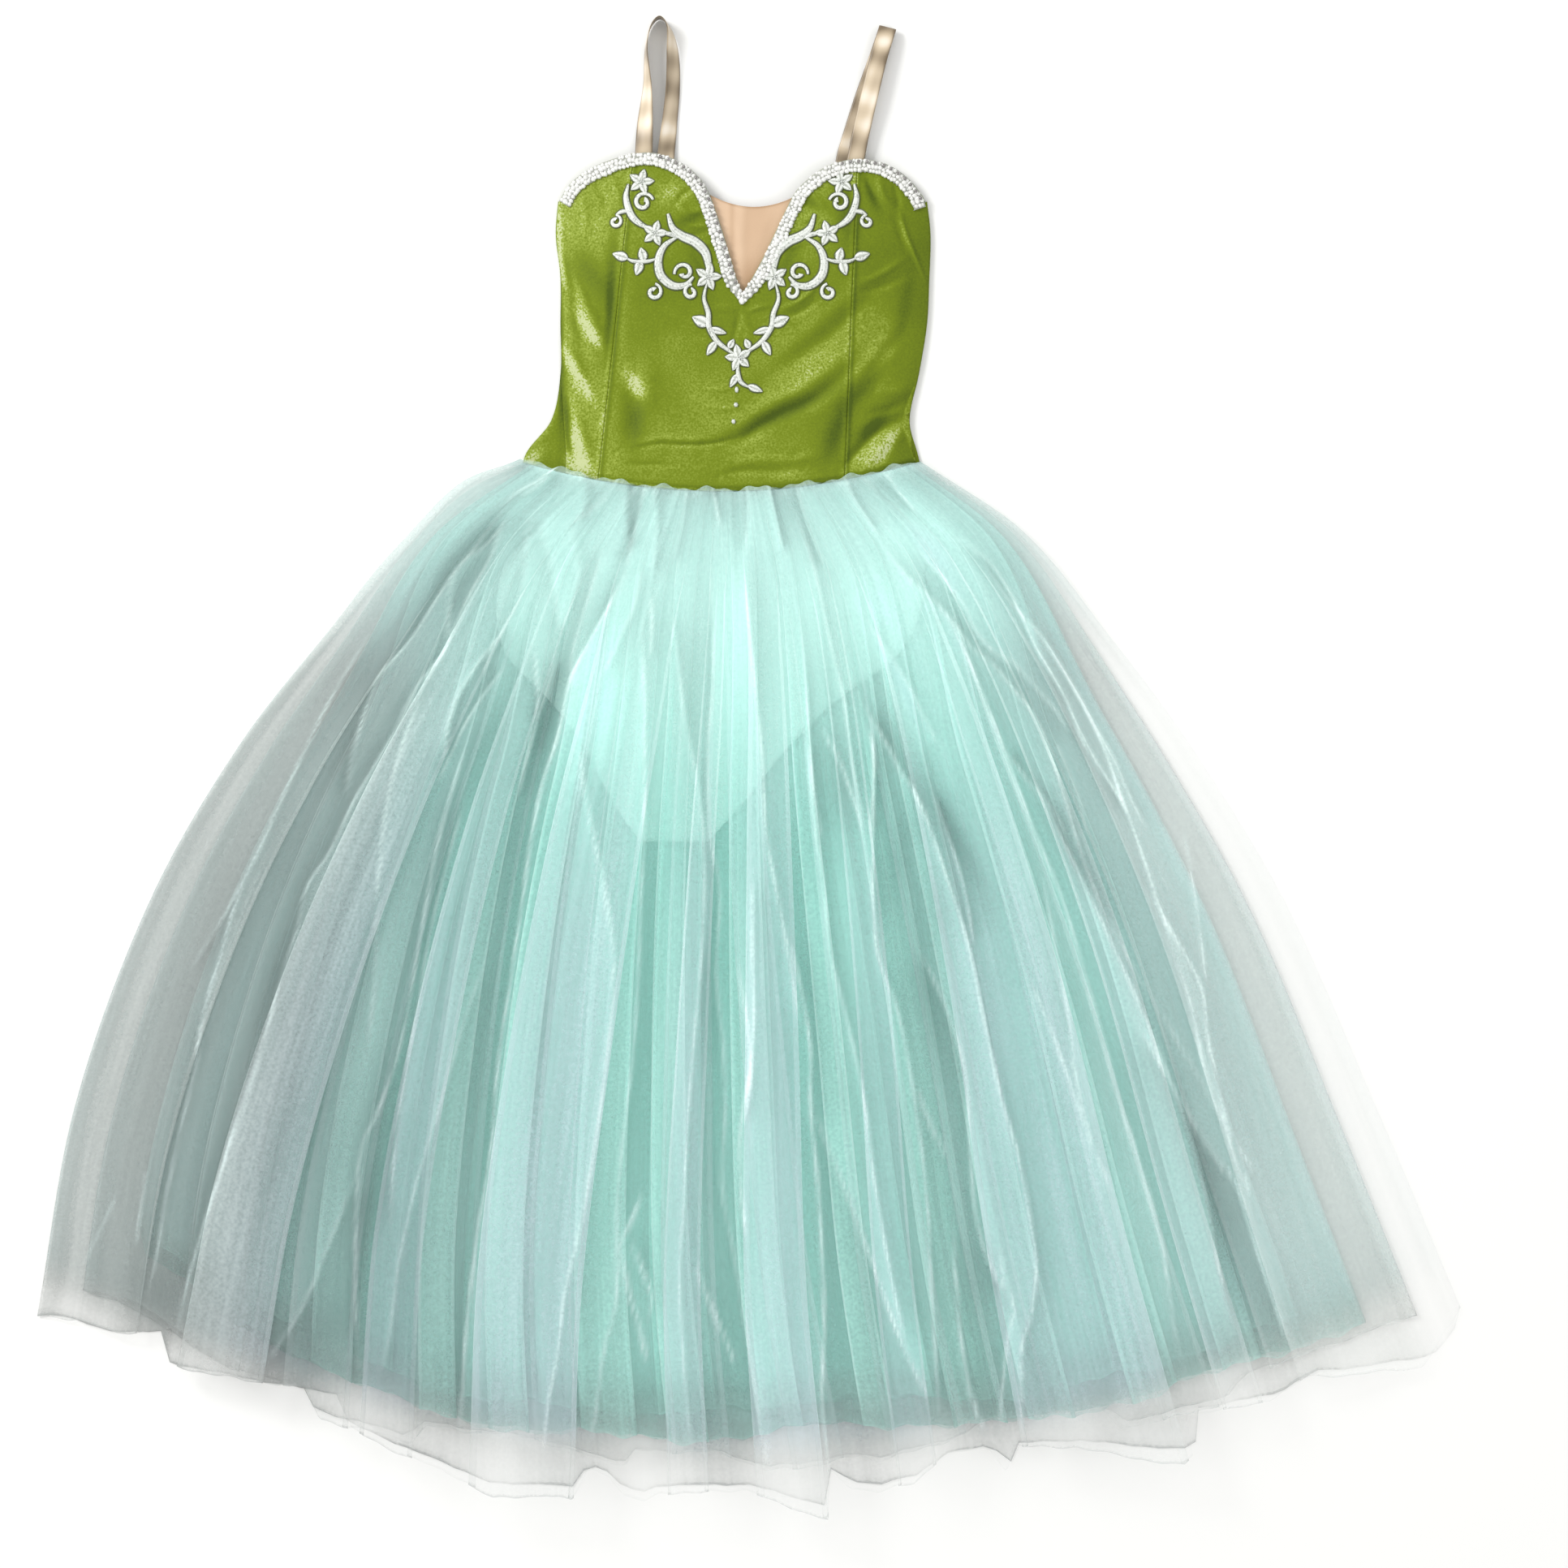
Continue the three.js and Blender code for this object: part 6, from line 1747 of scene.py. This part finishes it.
@dataclass
class Strap:
    """A satin elastic strap, doubled back on itself and tucked under the front's top edge."""

    material: Material
    steps: int = 160
    columns: int = 11

    def build(self, name: str, stations: Array, yaw: float) -> Piece:
        """Carry a thin flat profile along the stations, turning its width as the table says.

        Args:
            name: the node that it stands for.
            stations: rows of x, y, z and turn.
            yaw: the turn of its width in the floor's plane, in degrees.
        Returns:
            The piece.
        """
        table = stations.astype(float).copy()
        for row in table:
            if row[2] < 0:
                faces = [front_face(np.array(row[0] + out), np.array(row[1]))
                         for out in (-STRAP_WIDTH / 2, 0, STRAP_WIDTH / 2)]
                row[2] = min(faces) - VELVET - TUCK_GAP - STRAP_WALL / 2
        path = through(table, np.linspace(0, len(table) - 1, self.steps))
        centre, tilt, turn = path[:, :3], np.radians(path[:, 3]), math.radians(yaw)
        wide = np.stack([math.cos(turn) * np.cos(tilt), math.sin(turn) * np.cos(tilt), np.sin(tilt)], -1)
        along = np.gradient(centre, axis=0)
        face = np.cross(along, wide)
        face /= np.linalg.norm(face, axis=1, keepdims=True)
        across = np.linspace(-1, 1, self.columns)[None, :, None]
        spread = centre[:, None, :] + wide[:, None, :] * across * (STRAP_WIDTH / 2)
        wall = (0.5 * STRAP_WALL) * (1 - 0.5 * np.abs(across) ** 8)
        upper = spread + face[:, None, :] * wall
        lower = spread - face[:, None, :] * wall
        run = run_along(centre)
        uv = np.stack([across[..., 0] * STRAP_WIDTH / 2 + 0 * run[:, None], run[:, None] + 0 * across[..., 0]], -1)
        at, aside = run[:, None], np.abs(across[..., 0])
        # Painted highlights and shade on the satin: light bands along the ribbon, darker edges, darker at the top of
        # each loop.
        shine = 0.56 + 0.24 * np.sin(at / 8.5 + 1.6 * np.sin(at / 21)) + 0.14 * np.sin(at / 3.9 + 2)
        shine = shine - 0.55 * aside**6 - 0.3 * np.exp(-(((path[:, 1:2] - path[:, 1].max()) / 9) ** 2))
        shine = np.clip(shine + 0.1 * np.sin(3 * across[..., 0] + at / 15), 0, 1)
        piece = new_wall(f"{name}_satin", upper[:, ::-1], lower[:, ::-1], self.material, uv, shine=shine)
        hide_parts(name)
        return piece


# ---- Studio ----


@dataclass
class Studio:
    """The pale floor, the soft light and the camera straight above.

    Each lamp has its name, its place, its side in metres and its power in watts.
    """

    floor_half: float = 6.0
    floor_drop: float = 0.0004
    lens: float = 85.0
    sensor: float = 36.0
    camera_at: tuple[float, float, float] = (0.0287, -0.0164, 3.193)
    sky: float = 1.05
    lamps: tuple[tuple, ...] = (("key", (-1.9, 1.5, 1.7), 0.9, 60.0), ("fill", (1.9, -1.2, 2.6), 2.0, 14.0))

    def floor(self) -> None:
        """Make the wide plain floor, a little under the cloth."""
        mesh = bpy.data.meshes.new("floor")
        half, drop = self.floor_half, self.floor_drop
        mesh.from_pydata([(x * half, y * half, -drop) for x, y in ((-1, -1), (1, -1), (1, 1), (-1, 1))], [],
                         [(0, 1, 2, 3)])
        mesh.materials.append(Paper().make())
        floor = bpy.data.objects.new("floor", mesh)
        bpy.context.scene.collection.objects.link(floor)

    def lights(self) -> None:
        """Light the scene evenly from all round, with one key lamp from the upper left and a wide soft fill."""
        scene = bpy.context.scene
        world = bpy.data.worlds.new("studio")
        world.use_nodes = True
        feed(world.node_tree, world.node_tree.nodes["Background"],
             {"Color": (1.0, 1.0, 1.0, 1.0), "Strength": self.sky})
        scene.world = world
        for name, at, size, energy in self.lamps:
            light = bpy.data.lights.new(name, "AREA")
            light.shape = "SQUARE"
            light.size = size
            light.energy = energy
            lamp = bpy.data.objects.new(name, light)
            lamp.location = at
            away = np.array(at) / np.linalg.norm(at)
            lamp.rotation_euler = (math.acos(away[2]), 0.0, math.atan2(away[0], -away[1]))
            scene.collection.objects.link(lamp)

    def camera(self) -> None:
        """Set the camera straight above, with +Y up in the picture."""
        data = bpy.data.cameras.new("camera")
        data.lens = self.lens
        data.sensor_width = self.sensor
        data.clip_end = 50.0
        camera = bpy.data.objects.new("camera", data)
        camera.location = self.camera_at
        bpy.context.scene.collection.objects.link(camera)
        bpy.context.scene.camera = camera

    def build(self) -> None:
        """Set up the floor, the light, the camera and how the picture is shown."""
        scene = bpy.context.scene
        scene.view_settings.view_transform = "Standard"
        scene.cycles.transparent_max_bounces = 24
        scene.cycles.max_bounces = 4
        scene.cycles.diffuse_bounces = 2
        self.floor()
        self.lights()
        self.camera()


def main() -> None:
    """Build the studio and the garment's pieces in order."""
    logging.basicConfig(level=logging.INFO, format="%(name)s %(message)s")
    Studio().build()
    skirt = Skirt(Tulle().make())
    for k in range(len(LAYERS)):
        skirt.build(k)
    Brief(Knit("mint_jersey", "#e9fffa", "#dafaf3").make()).build()
    bodice = Bodice(Velvet().make())
    bodice.back()
    bodice.front()
    NeckInsert(Knit("nude_power_net", "#cbb092", "#b5967a").make()).build()
    # The braid's band is coloured dark grey as painted shade between the beads.
    band = Knit("braid_band_painted_shade", "#a2a49c", "#83867c", 1.8).make()
    pearls = Bead("white_glass_bead", "#eaeae6", "#b4b5af").make()
    stones = Bead("smoke_glass_stone", "#8d8986", "#4a4644", 0.12).make()
    NeckBraid(bodice, band, pearls, stones).build()
    Applique(Thread().make(), Bead("clear_crystal", "#d3d6d0", "#9fa59c", 0.08).make()).build()
    satin = Satin().make()
    Strap(satin).build("strap_left", LEFT_STRAP, 0.0)
    Strap(satin).build("strap_right", RIGHT_STRAP, RIGHT_STRAP_YAW)


if __name__ == "__main__":
    main()
